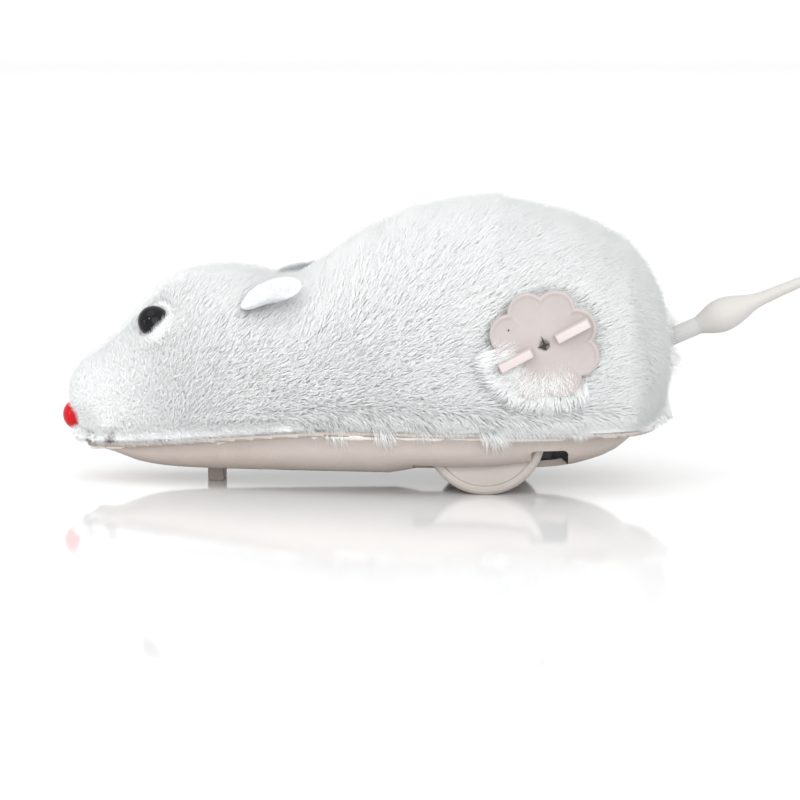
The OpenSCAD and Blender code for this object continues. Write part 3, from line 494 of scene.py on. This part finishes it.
def furCoatTree():
    tree = bpy.data.node_groups.new("furCoat", "GeometryNodeTree")
    tree.interface.new_socket(name="Geometry", in_out="INPUT", socket_type="NodeSocketGeometry")
    for name, kind, value in (("Density", "NodeSocketFloat", 1e6), ("Lift", "NodeSocketFloat", 0.45),
                              ("Stray", "NodeSocketFloat", 0.2), ("Clump", "NodeSocketFloat", 0.6),
                              ("Clump Scale", "NodeSocketFloat", 300.0), ("Seed", "NodeSocketInt", 1),
                              ("Strand", "NodeSocketObject", None), ("Coat", "NodeSocketMaterial", None)):
        socket = tree.interface.new_socket(name=name, in_out="INPUT", socket_type=kind)
        if value is not None:
            socket.default_value = value
    tree.interface.new_socket(name="Geometry", in_out="OUTPUT", socket_type="NodeSocketGeometry")
    given = tree.nodes.new("NodeGroupInput").outputs

    def attribute(name, kind):
        return put(tree, "GeometryNodeInputNamedAttribute", {"Name": name}, data_type=kind).outputs["Attribute"]

    def vector(operation, a, b=None, scale=None):
        made = put(tree, "ShaderNodeVectorMath", operation=operation)
        for index, value in enumerate((a, b)):
            if isinstance(value, bpy.types.NodeSocket):
                tree.links.new(value, made.inputs[index])
            elif value is not None:
                made.inputs[index].default_value = value
        if scale is not None:
            if isinstance(scale, bpy.types.NodeSocket):
                tree.links.new(scale, made.inputs["Scale"])
            else:
                made.inputs["Scale"].default_value = scale
        return made.outputs[0]

    def number(operation, a, b):
        return put(tree, "ShaderNodeMath", {0: a, 1: b}, operation=operation).outputs[0]

    def random(low, high, offset):
        seed = put(tree, "FunctionNodeIntegerMath", {0: given["Seed"], 1: offset}, operation="ADD").outputs[0]
        return put(tree, "FunctionNodeRandomValue", {2: low, 3: high, "Seed": seed}, data_type="FLOAT").outputs[1]

    points = put(tree, "GeometryNodeDistributePointsOnFaces", {"Mesh": given["Geometry"], "Density": given["Density"],
                                                               "Seed": given["Seed"]}).outputs["Points"]
    where = put(tree, "GeometryNodeInputPosition").outputs[0]
    lay, facing = attribute("comb", "FLOAT_VECTOR"), attribute("facing", "FLOAT_VECTOR")
    tuft = put(tree, "ShaderNodeTexNoise", {"Vector": where, "Scale": given["Clump Scale"], "Detail": 2.0})
    tuftSway = vector("SCALE", vector("SUBTRACT", tuft.outputs["Color"], (0.5, 0.5, 0.5)), scale=given["Clump"])
    strayOne = put(tree, "FunctionNodeRandomValue", {0: (-1, -1, -1), 1: (1, 1, 1), "Seed": given["Seed"]},
                   data_type="FLOAT_VECTOR").outputs[0]
    sway = vector("ADD", tuftSway, vector("SCALE", strayOne, scale=given["Stray"]))
    lean = vector("NORMALIZE", vector("ADD", lay, sway))
    rise = number("ADD", given["Lift"], random(-0.1, 0.12, 3))
    start = vector("NORMALIZE", vector("ADD", vector("SCALE", lean, scale=number("SUBTRACT", 1.0, rise)),
                                       vector("SCALE", facing, scale=rise)))
    turned = put(tree, "FunctionNodeAlignRotationToVector", {"Vector": start}, axis="Z").outputs[0]
    turned = put(tree, "FunctionNodeAlignRotationToVector", {"Rotation": turned, "Vector": lean}, axis="X", pivot_axis="Z").outputs[0]
    size = number("MULTIPLY", attribute("hair", "FLOAT"), random(0.72, 1.12, 5))
    hairs = put(tree, "GeometryNodeInstanceOnPoints", {
        "Points": points, "Instance": put(tree, "GeometryNodeObjectInfo", {"Object": given["Strand"]}).outputs["Geometry"],
        "Rotation": turned, "Scale": put(tree, "ShaderNodeCombineXYZ", {"X": size, "Y": size, "Z": size}).outputs[0]})
    broad = put(tree, "ShaderNodeTexNoise", {"Vector": where, "Scale": 95.0, "Detail": 2.0}).outputs["Fac"]
    fine = put(tree, "ShaderNodeTexNoise", {"Vector": where, "Scale": 520.0, "Detail": 2.0}).outputs["Fac"]
    shade = number("ADD", number("MULTIPLY", broad, 0.35), number("MULTIPLY", fine, 0.9))
    shade = number("ADD", shade, random(-0.17, 0.17, 7))
    shade = put(tree, "ShaderNodeClamp", {"Value": shade, "Min": 0.2, "Max": 0.98}).outputs[0]
    dirty = number("LESS_THAN", random(0.0, 1.0, 9), attribute("speck", "FLOAT"))
    shade = number("MULTIPLY", shade, number("SUBTRACT", 1.0, number("MULTIPLY", dirty, 0.93)))
    marked = put(tree, "GeometryNodeStoreNamedAttribute", {"Geometry": hairs.outputs["Instances"], "Name": "shade", "Value": shade},
                 data_type="FLOAT", domain="INSTANCE")
    real = put(tree, "GeometryNodeRealizeInstances", {"Geometry": marked.outputs[0]})
    across = number("ADD", number("MULTIPLY", attribute("shade", "FLOAT"), 0.97),
                    number("MULTIPLY", attribute("around", "FLOAT"), 0.012))
    spot = put(tree, "ShaderNodeCombineXYZ", {"X": number("ADD", across, 0.008),
                                              "Y": number("ADD", number("MULTIPLY", attribute("along", "FLOAT"), 0.96), 0.02)}).outputs[0]
    mapped = put(tree, "GeometryNodeStoreNamedAttribute", {"Geometry": real.outputs[0], "Name": "OFBake", "Value": spot},
                 data_type="FLOAT2", domain="CORNER")
    coat = put(tree, "GeometryNodeSetMaterial", {"Geometry": mapped.outputs[0], "Material": given["Coat"]})
    put(tree, "NodeGroupOutput", {"Geometry": coat.outputs[0]})
    return tree


furCoat = furCoatTree()


def patchOf(name, wanted):
    # the part of the backing whose faces are wanted, with what the hairs need to know
    faces = [p.vertices[:] for p, keep in zip(skin.data.polygons, wanted) if keep]
    used = np.unique(np.concatenate([np.array(f) for f in faces]))
    index = np.full(len(skinPlace), -1)
    index[used] = np.arange(len(used))
    patch = meshPiece(name, skinPlace[used], [tuple(index[list(f)]) for f in faces])
    for key, values, kind in (("comb", comb, "FLOAT_VECTOR"), ("facing", skinNormal, "FLOAT_VECTOR"),
                              ("hair", hair * mm, "FLOAT"), ("speck", speck, "FLOAT")):
        target = patch.data.attributes.new(key, kind, "POINT").data
        target.foreach_set("vector" if kind == "FLOAT_VECTOR" else "value", np.ascontiguousarray(values[used], np.float32).ravel())
    return patch


def growFur(patch, values):
    grow = patch.modifiers.new("fur", "NODES")
    grow.node_group = furCoat
    names = {s.name: s.identifier for s in furCoat.interface.items_tree if s.in_out == "INPUT"}
    for key, value in values.items():
        grow[names[key]] = value
    applied(patch)
    dress(patch, whiteFur, "mouse_body", "fur")
    return patch


faceCorner = [p.vertices[:] for p in skin.data.polygons]
faceMid = np.array([skinPlace[list(f)].mean(0) for f in faceCorner]) / mm
faceGap = np.array([gap[list(f)].min() for f in faceCorner]) / mm
faceMidY = faceMid[:, 1]
faceSide = np.array([skinNormal[list(f)].mean(0)[1] for f in faceCorner]) * np.sign(faceMidY)
lowEdge = (faceMid[:, 2] - rimHeight(faceMid[:, 0]) < 3.2) & (faceSide > 0.2) & (abs(faceMidY) > 4)
byNose = (faceMid[:, 0] < -81) & (np.array([skinNormal[list(f)].mean(0)[0] for f in faceCorner]) < -0.1)
faceOuter = (faceGap > 1.72) | ((lowEdge | byNose) & (faceGap > 0.12))
faceUp = np.array([skinNormal[list(f)].mean(0)[2] for f in faceCorner])
grows = faceOuter & (faceUp > -0.85)
shortHair = strand("shortHair", plush["strandWidth"])
for number, (low, high) in enumerate(zip(plush["bands"][:-1], plush["bands"][1:])):
    for side in (-1, 1):
        wanted = grows & (faceMid[:, 0] >= low) & (faceMid[:, 0] < high) & (faceMid[:, 1] * side > 0)
        name = "fur_%d_%s" % (number + 1, "left" if side < 0 else "right")
        piece = growFur(patchOf(name, wanted), {
            "Density": plush["perSquareMetre"], "Lift": 0.45, "Stray": 0.33, "Clump": 0.6, "Clump Scale": 300.0,
            "Seed": 11 + 2 * number + (side > 0), "Strand": shortHair, "Coat": whiteFur})
        print(name, len(piece.data.polygons), "faces")

# the long wisps that hang over the base, and the tuft that laps over the key
fringe = {"strandWidth": 0.02, "strandBend": 0.35, "perSquareMetre": 2.0e7, "length": (2.4, 5.2), "above": 2.8}
longHair = strand("longHair", fringe["strandWidth"], fringe["strandBend"], ((0.0, 1.0), (0.5, 0.8)))
faceAbove = faceMid[:, 2] - rimHeight(faceMid[:, 0])
tuftNoise = np.array([noise.noise(Vector((p[0] * 0.19, p[1] * 0.19, 0.0))) for p in faceMid])
isFringe = grows & (faceAbove < fringe["above"]) & (faceMid[:, 0] > -46) & (tuftNoise > -0.3)
isFringe &= (faceUp < 0.6) & (faceMid[:, 0] < 22)
shortest, longest = fringe["length"]
hair = shortest + (longest - shortest) * ease(-0.2, 0.45, patchy)
hair *= (0.5 + 0.5 * ease(-46, -30, sx)) * (1 - 0.5 * ease(8, 22, sx))
down = np.stack([0.5 + 0 * sx, 0 * sx, -0.95 + 0 * sx], 1) + skinNormal * 0.12
comb = down / np.linalg.norm(down, axis=1)[:, None]
growFur(patchOf("furFringe", isFringe), {
    "Density": fringe["perSquareMetre"], "Lift": 0.3, "Stray": 0.36, "Clump": 0.7, "Clump Scale": 240.0,
    "Seed": 71, "Strand": longHair, "Coat": whiteFur})
isJaw = grows & (faceAbove < 3.4) & (faceMid[:, 0] <= -44) & (faceUp < 0.6)
hair = 1.5 + 0.9 * ease(-80, -50, sx)
comb = np.stack([0.8 + 0 * sx, 0 * sx, -0.6 + 0 * sx], 1)
growFur(patchOf("furJaw", isJaw), {
    "Density": plush["perSquareMetre"], "Lift": 0.34, "Stray": 0.35, "Clump": 0.7, "Clump Scale": 300.0,
    "Seed": 77, "Strand": shortHair, "Coat": whiteFur})
tuft = {"ring": (11.4, 16.0), "from": 190, "to": 306, "length": 8.2}
tuftAngle = np.degrees(np.arctan2(faceMid[:, 2] - keyCentre.z / mm, faceMid[:, 0] - keyCentre.x / mm)) % 360
tuftReach = np.hypot(faceMid[:, 0] - keyCentre.x / mm, faceMid[:, 2] - keyCentre.z / mm)
isTuft = grows & (faceMid[:, 1] < 0) & (tuftReach > tuft["ring"][0]) & (tuftReach < tuft["ring"][1])
isTuft &= (tuftAngle > tuft["from"]) & (tuftAngle < tuft["to"])
hair = np.full(len(hair), tuft["length"])
inward = np.stack([keyCentre.x / mm - sx, 0 * sx, keyCentre.z / mm - sz], 1)
comb = inward / np.linalg.norm(inward, axis=1)[:, None]
growFur(patchOf("furTuft", isTuft), {
    "Density": fringe["perSquareMetre"] * 1.9, "Lift": 0.6, "Stray": 0.3, "Clump": 0.8, "Clump Scale": 240.0,
    "Seed": 83, "Strand": longHair, "Coat": whiteFur})
for helper in (shortHair, longHair):
    bpy.data.objects.remove(helper)

backingArea = sum(p.area for p in skin.data.polygons) / 2
dress(skin, pileBacking, "mouse_body", "fur", "plush_skin")
print("plush backing is %.4f square metres a side" % backingArea)


# felt ears: a cupped leaf with a pinched root and a turned lower edge
earSizes = {"length": 14.0, "width": 8.6, "thick": 0.85, "splay": 16, "cup": 1.3, "turned": 1.2, "cols": 36, "rows": 20}


def earPiece(name, side, nodeName, root, lift, roll):
    e = earSizes
    turn = (Matrix.Rotation(math.radians(side * e["splay"]), 4, "Z") @ Matrix.Rotation(math.radians(-lift), 4, "Y")
            @ Matrix.Rotation(math.radians(-side * roll), 4, "X"))
    root = Vector(root)
    layers = []
    for face in (1, -1):
        grid = []
        for i in range(e["cols"] + 1):
            u = i / e["cols"]
            half = e["width"] / 2 * max(1 - abs(2 * u - 0.99) ** 3.6, 0.02) ** 0.5
            for j in range(e["rows"] + 1):
                v = 2 * j / e["rows"] - 1          # -1 is the upper edge on the left ear
                outerEdge = v * side
                across = v * half
                up = e["cup"] * (v * v - 0.35) * math.sin(math.pi * min(u * 1.15, 1)) ** 0.5 * (half * 2 / e["width"])
                up += e["turned"] * max(0, outerEdge - 0.55) ** 2 * 2.2 * math.sin(math.pi * u) ** 0.6
                across *= 1 - 0.10 * max(0, outerEdge - 0.5) * 2
                up += 0.18 * math.sin(9 * u + 3 * v) * math.sin(math.pi * u)
                thin = e["thick"] / 2 * (1 - 0.55 * abs(v) ** 6) * (1 - 0.5 * (2 * u - 1) ** 8)
                local = Vector((e["length"] * u * (1 - 0.015 * v * v), across, up + face * thin))
                grid.append((root + (turn @ local)) * mm)
        layers.append(grid)
    n, m = e["cols"] + 1, e["rows"] + 1
    vertices = layers[0] + layers[1]
    faces = []
    for i in range(n - 1):
        for j in range(m - 1):
            a = i * m + j
            faces.append((a, a + m, a + m + 1, a + 1))
            faces.append((n * m + a, n * m + a + 1, n * m + a + m + 1, n * m + a + m))
    edge = [i * m for i in range(n)] + [(n - 1) * m + j for j in range(1, m)]
    edge += [i * m + m - 1 for i in range(n - 2, -1, -1)] + [j for j in range(m - 2, 0, -1)]
    for a, b in zip(edge, edge[1:] + edge[:1]):
        faces.append((a, b, b + n * m, a + n * m))
    ear = meshPiece(name, vertices, faces)
    outward(ear.data)
    shadeSmooth(ear, 70)
    dress(ear, whiteFelt, "mouse_body", "felt", nodeName)


earPiece("feltEarLeft", -1, "ear_left", (-50.6, -16.0, 38.9), 17, 32)
earPiece("feltEarRight", 1, "ear_right", (-50.9, 15.8, 40.1), 22, 12)
print("ears done")


# bead eyes and nose: a polished ball on a collar and a stem
def bead(name, centre, inward, radius, material, slotName, nodeName, flatten=0.94):
    profile = [(radius * flatten * math.cos(a), radius * math.sin(a)) for a in np.linspace(0.02, math.radians(118), 30)]
    collar = -radius * 0.62
    profile += [(collar, radius * 0.80), (collar - 0.25 * mm, radius * 0.62), (collar - 0.35 * mm, 1.05 * mm), (-8.6 * mm, 0.98 * mm)]
    piece = lathe(name, profile, centre, -Vector(inward))
    return dress(piece, material, "mouse_body", slotName, nodeName)


tilt = math.radians(58)
for side, word in ((-1, "Left"), (1, "Right")):
    bead("beadEye" + word, (eyeCentre.x, side * abs(eyeCentre.y), eyeCentre.z), (0, -side * math.sin(tilt), -math.cos(tilt)),
         3.28 * mm, eyeGloss, "eye_bead", "eye_" + word.lower())
bead("beadNose", noseCentre, (1, 0, 0), 3.28 * mm, noseGloss, "nose_bead", "nose")
print("eyes and nose done")

# winding key: a flower-shaped disc with a rolled rim, two bevelled grips and the hub
keySizes = {"petals": 8, "petal": 4.1, "radius": 11.4, "web": 0.8, "tilt": 28, "face": -32.2, "back": -30.6,
            "hub": 3.4, "hubIn": -16.0, "hole": 1.0, "grip": (7.8, 2.2, 2.8), "gripAt": 6.4}


def petalEdge(angle, inset):
    k = keySizes
    centre, petal = k["radius"] - k["petal"], k["petal"] - inset
    reach = centre + k["web"] - inset
    for i in range(k["petals"]):
        off = angle - math.radians(k["tilt"] + 360 * i / k["petals"])
        across = centre * math.sin(off)
        if abs(across) < petal and math.cos(off) > 0:
            reach = max(reach, centre * math.cos(off) + math.sqrt(petal ** 2 - across ** 2))
    return reach


def windingKey():
    k = keySizes
    sides = 320
    rings = [(None, k["hub"], k["hubIn"]), (None, k["hub"], k["back"] + 0.25), (None, k["hub"] + 0.25, k["back"]),
             (0.45, None, k["back"]), (0.12, None, k["back"] - 0.16), (0.0, None, k["back"] - 0.5), (0.0, None, k["face"] + 0.42),
             (0.12, None, k["face"] + 0.12), (0.42, None, k["face"]), (0.72, None, k["face"] + 0.02), (0.95, None, k["face"] + 0.2),
             (1.25, None, k["face"] + 0.26), (None, 4.2, k["face"] + 0.26), (None, 2.3, k["face"] + 0.2),
             (None, k["hole"] + 0.45, k["face"] + 0.14), (None, k["hole"], k["face"] + 0.4), (None, k["hole"], k["face"] + 0.98)]
    vertices, faces = [], []
    for inset, radius, y in rings:
        for i in range(sides):
            angle = 2 * math.pi * i / sides
            r = petalEdge(angle, inset) if radius is None else radius
            vertices.append(((keyCentre.x / mm + r * math.cos(angle)) * mm, y * mm, (keyCentre.z / mm + r * math.sin(angle)) * mm))
    for i in range(len(rings) - 1):
        for j in range(sides):
            a, b = i * sides + j, i * sides + (j + 1) % sides
            faces.append((a, b, b + sides, a + sides))
    faces += [tuple(range(sides)), tuple((len(rings) - 1) * sides + j for j in range(sides))]
    key = meshPiece("flowerKey", vertices, faces)
    outward(key.data)
    shadeSmooth(key, 50)
    long, wide, high = k["grip"]
    turn = Matrix.Rotation(math.radians(-k["tilt"]), 4, "Y")
    grips = []
    for sign in (-1, 1):
        shape = bmesh.new()
        bmesh.ops.create_cube(shape, size=1)
        for v in shape.verts:
            top = v.co.y < 0
            v.co = Vector((v.co.x * (long - (0.7 if top else 0)), v.co.y * (high + 0.4), v.co.z * (wide - (0.5 if top else 0))))
        bmesh.ops.bevel(shape, geom=shape.edges[:] + shape.verts[:], offset=0.28, segments=3, profile=0.6, affect="EDGES")
        for v in shape.verts:
            v.co = (turn @ (v.co + Vector((sign * k["gripAt"], 0, 0))) + Vector((0, k["face"] + 0.2 - high / 2, 0))) * mm
            v.co += Vector((keyCentre.x, 0, keyCentre.z))
        grip = bpy.data.meshes.new("grip")
        shape.to_mesh(grip)
        shape.free()
        piece = link(bpy.data.objects.new("keyGripFront" if sign < 0 else "keyGripBack", grip))
        shadeSmooth(piece, 40)
        grips.append(dress(piece, gripPlastic, "key", "key_plastic"))
    dress(key, keyPlastic, "key", "key_plastic", "winding_key")
    # painted shadow: a dark star laid on the key face stands for the shade in the socket hole; a small dark dot sits
    # beside it
    star = [(2.1 if i % 2 == 0 else 0.62) * (0.5 + 0.22 * ((i * 7) % 3)) for i in range(8)]
    marks = [([(r * math.cos(math.pi * i / 4 + 0.35), r * math.sin(math.pi * i / 4 + 0.35)) for i, r in enumerate(star)], 0.0, 0.0),
             ([(0.17 * math.cos(math.pi * i / 4), 0.17 * math.sin(math.pi * i / 4)) for i in range(8)], -7.2, 3.0)]
    vertices, faces = [], []
    for outline, dx, dz in marks:
        first = len(vertices)
        for y in (k["face"] - 0.02, k["face"] + 0.3):
            vertices += [(keyCentre.x + (dx + u) * mm, y * mm, keyCentre.z + (dz + v) * mm) for u, v in outline]
        faces += [tuple(range(first, first + 8)), tuple(range(first + 8, first + 16))]
        faces += [(first + i, first + (i + 1) % 8, first + 8 + (i + 1) % 8, first + 8 + i) for i in range(8)]
    socket = meshPiece("keySocket", vertices, faces)
    outward(socket.data)
    dress(socket, wellShade, "key", "key_plastic")
    return key


windingKey()
print("key done")

# the tail: a soft moulding with a bulb, a long whip and a faint parting line
tailSizes = {"bulb": 3.5, "sides": 28, "rings": 150, "parting": 0.05}
tailRun = [(0, 0, 0.53), (1.5, 0.65, 0.72), (3.2, 1.4, 0.92), (5, 2.2, 1), (7, 3.05, 0.93), (9, 3.9, 0.74),
           (11, 4.8, 0.52), (13, 5.65, 0.4), (17, 7.4, 0.34), (22, 9.55, 0.29), (28, 12.1, 0.27),
           (34, 14.5, 0.25), (40, 16.5, 0.24), (46, 18, 0.23), (52, 18.6, 0.22), (58, 18.2, 0.21),
           (64, 17, 0.2), (70, 15.2, 0.19), (76, 13, 0.18), (82, 10.6, 0.17), (88, 8.2, 0.16),
           (94, 5.9, 0.15), (99, 4.2, 0.13), (101, 3.6, 0.08)]
tailStart = (44.566, 33.498)


def alongRun(points, t):
    # smooth curve through the points; t counts points
    i = min(int(t), len(points) - 2)
    u = t - i
    p = [np.array(points[max(0, min(len(points) - 1, i + k))], float) for k in (-1, 0, 1, 2)]
    return 0.5 * (2 * p[1] + (p[2] - p[0]) * u + (2 * p[0] - 5 * p[1] + 4 * p[2] - p[3]) * u ** 2
                  + (3 * p[1] - p[0] - 3 * p[2] + p[3]) * u ** 3)


def tailPiece():
    s = tailSizes
    vertices, faces = [], []
    count = s["rings"]
    for i in range(count):
        t = (len(tailRun) - 1) * i / (count - 1)
        here, ahead, behind = alongRun(tailRun, t), alongRun(tailRun, min(t + 0.02, 22.999)), alongRun(tailRun, max(t - 0.02, 0))
        slope = math.atan2(ahead[1] - behind[1], ahead[0] - behind[0])
        for k in range(s["sides"]):
            a = 2 * math.pi * k / s["sides"]
            r = here[2] * s["bulb"] + s["parting"] * max(0, abs(math.sin(a)) - 0.96) / 0.04
            vertices.append(((tailStart[0] + here[0] - r * math.sin(a) * math.sin(slope)) * mm, r * math.cos(a) * mm,
                             (tailStart[1] + here[1] + r * math.sin(a) * math.cos(slope)) * mm))
    for i in range(count - 1):
        for k in range(s["sides"]):
            a, b = i * s["sides"] + k, i * s["sides"] + (k + 1) % s["sides"]
            faces.append((a, b, b + s["sides"], a + s["sides"]))
    faces += [tuple(range(s["sides"])), tuple((count - 1) * s["sides"] + k for k in range(s["sides"]))]
    tail = meshPiece("whipTail", vertices, faces)
    outward(tail.data)
    shadeSmooth(tail, 60)
    return dress(tail, tailPlastic, "tail_swing", "tail_plastic", "tail")


tailPiece()
print("tail done")


# parts whose shape is right already: a clean copy with eased edges
def refined(nodeName, name, body, slotName, material, easing=0.0, segments=2, degrees=35):
    piece = cleanCopy(nodeName, name, flatten=easing > 0)
    if easing:
        soft = piece.modifiers.new("easedEdges", "BEVEL")
        soft.width, soft.segments, soft.limit_method, soft.angle_limit = easing * mm, segments, "ANGLE", math.radians(30)
        applied(piece)
    shadeSmooth(piece, degrees)
    return dress(piece, material, body, slotName, nodeName)


base = {"bellyDrop": 0.95, "tip": (-80.5, 0.62), "lip": (0.75, 0.85), "rear": (30, 0.6), "lipSides": 10, "well": (-15.0, 17.3, 14.2, 23.4, 6.4, 9.9)}


def moulded(x, z):
    # the tray hangs a little lower ahead of the wheels, and its tip tucks in under the chin
    belly = ease(-82, -72, x) * (x < -15.2) * (1 - ease(4.8, 11.5, z))
    reach = np.where(x < base["tip"][0], base["tip"][0] + (x - base["tip"][0]) * base["tip"][1], x)
    reach = np.where(x > base["rear"][0], base["rear"][0] + (x - base["rear"][0]) * base["rear"][1], reach)
    return reach, z - base["bellyDrop"] * belly


tub = cleanCopy("base_tub", "mouldedBase", flatten=False)
shape, _ = arrays(tub.data)
rimOf = {}
for px, py, pz in shape / mm:
    if pz > rimHeight(px) - 1.3:
        rimOf[round(px, 1)] = max(rimOf.get(round(px, 1), 0), abs(py))
newX, newZ = moulded(shape[:, 0] / mm, shape[:, 2] / mm)
shape[:, 0], shape[:, 2] = newX * mm, newZ * mm
tub.data.vertices.foreach_set("co", shape.ravel())
tub.data.update()
shadeSmooth(tub, 28)
dress(tub, bodyPlastic, "mouse_body", "body_plastic", "base_tub")
# painted shadow: faces inside the wheel wells get the near-black plastic, for the shade in them
tub.data.materials.append(wellShade)
x0, x1, y0, y1, z0, z1 = base["well"]
for face in tub.data.polygons:
    mid = face.center / mm
    inner = face.normal.y * math.copysign(1, mid.y) < -0.4 or abs(mid.y) < 16.5 or abs(face.normal.x) > 0.8
    if x0 < mid.x < x1 and y0 < abs(mid.y) < y1 and z0 < mid.z < z1 and inner and abs(face.normal.z) < 0.9:
        face.material_index = 1


def lipPiece():
    # the bead moulded along the top edge of the tray, in a lighter copy of the body plastic: painted light along the
    # rim
    stations = sorted(x for x in rimOf if -86.5 < x < 38)
    smoothX = np.linspace(stations[0], stations[-1], 110)
    width = np.interp(smoothX, stations, [rimOf[x] for x in stations])
    width = np.convolve(np.pad(width, 3, "edge"), np.ones(7) / 7, "valid")
    out, tall = base["lip"]
    vertices, faces = [], []
    path = [(x, -w) for x, w in zip(smoothX, width)] + [(x, w) for x, w in zip(smoothX[::-1], width[::-1])]
    for x, y in path:
        z = rimHeight(x) - 0.9
        reach, _ = moulded(np.array([x]), np.array([z]))
        for k in range(base["lipSides"]):
            a = 2 * math.pi * k / base["lipSides"]
            vertices.append((reach[0] * mm, (y + math.copysign(out * math.cos(a), y) - math.copysign(0.15, y)) * mm, (z + tall * math.sin(a)) * mm))
    n, sides = len(path), base["lipSides"]
    for i in range(n):
        for k in range(sides):
            a, b = i * sides + k, i * sides + (k + 1) % sides
            c, d = (i + 1) % n * sides + k, (i + 1) % n * sides + (k + 1) % sides
            faces.append((a, b, d, c))
    lip = meshPiece("baseLip", vertices, faces)
    outward(lip.data)
    shadeSmooth(lip, 80)
    return dress(lip, lipPlastic, "mouse_body", "body_plastic")


lipPiece()
refined("front_foot", "footPost", "mouse_body", "body_plastic", bodyPlastic, 0.25)
refined("wheel_left", "driveWheelLeft", "wheels", "wheel_plastic", wheelPlastic, 0.22)
refined("wheel_right", "driveWheelRight", "wheels", "wheel_plastic", wheelPlastic, 0.22)
refined("tail_spigot", "tailStub", "tail_swing", "root_plastic", rootPlastic)
finishes = {
    innerPlastic: ("upper_shell", "motor_feet", "tail_post"),
    plateSteel: ("motor_plate_left", "motor_plate_right"),
    steel: ("motor_pillars", "motor_screws", "base_screws", "arbor", "click_spring",
            "second_shaft", "axle", "tail_pin"),
    blueSteel: ("mainspring",),
    brass: ("ratchet_wheel", "main_gear", "second_gear", "axle_pinion"),
}
for material, names in finishes.items():
    for name in names:
        mesh = frame["nodes"][name].data
        mesh.materials.clear()
        mesh.materials.append(material)
print("moulded and metal parts done")

# studio: white floor with a faint polish, soft light and the camera
studio = {"target": (-0.0186, 0.0, 0.01715), "distance": 0.6, "azimuth": 3.0, "elevation": 7.0, "lens": 126.7}
floor = meshPiece("studioFloor", [(-40, -40, 0), (40, -40, 0), (40, 40, 0), (-40, 40, 0)], [(0, 1, 2, 3)])
floorWhite, floorTree, floorShader = startMaterial("floorWhite", Specular_IOR_Level=0.5)
floorPlace = put(floorTree, "ShaderNodeTexCoord").outputs["Object"]
floorCloud = put(floorTree, "ShaderNodeTexNoise", {"Vector": floorPlace, "Scale": 3.0})
floorPolish = put(floorTree, "ShaderNodeMapRange", {"Value": floorCloud.outputs["Fac"], "To Min": 0.05, "To Max": 0.08})
floorTree.links.new(floorPolish.outputs["Result"], floorShader.inputs["Roughness"])
floorShader.inputs["Base Color"].default_value = (0.82, 0.82, 0.82, 1)
floor.data.materials.append(floorWhite)

world = bpy.data.worlds.new("studioWorld")
scene.world = world
world.use_nodes = True
world.node_tree.nodes["Background"].inputs["Color"].default_value = (1, 1, 1, 1)
world.node_tree.nodes["Background"].inputs["Strength"].default_value = 1.07


def softBox(name, spot, aim, size, power):
    lamp = bpy.data.lights.new(name, "AREA")
    lamp.shape, lamp.size, lamp.energy = "SQUARE", size, power
    holder = link(bpy.data.objects.new(name, lamp))
    holder.location = spot
    holder.rotation_euler = (Vector(aim) - Vector(spot)).to_track_quat("-Z", "Y").to_euler()


softBox("topBox", (-0.25, -0.30, 0.80), (-0.01, 0, 0.02), 0.6, 1.5)
softBox("frontBox", (0.30, -0.90, 0.22), (-0.01, 0, 0.02), 0.9, 7.2)
softBox("noseLamp", (-0.50, -0.24, 0.08), (-0.08, 0, 0.013), 0.08, 0.16)
softBox("glintLamp", (-0.42, -0.72, 0.46), (-0.03, 0, 0.02), 0.04, 0.9)
camera = link(bpy.data.objects.new("camera", bpy.data.cameras.new("camera")))
azimuth, elevation = math.radians(studio["azimuth"]), math.radians(studio["elevation"])
back = Vector((math.sin(azimuth) * math.cos(elevation), -math.cos(azimuth) * math.cos(elevation), math.sin(elevation)))
camera.location = Vector(studio["target"]) + back * studio["distance"]
camera.rotation_euler = (-back).to_track_quat("-Z", "Y").to_euler()
camera.data.lens, camera.data.sensor_width = studio["lens"], 36
camera.data.clip_start, camera.data.clip_end = 0.01, 120
scene.camera = camera
scene.view_settings.view_transform = "Standard"
print("studio ready")

bpy.context.view_layer.update()
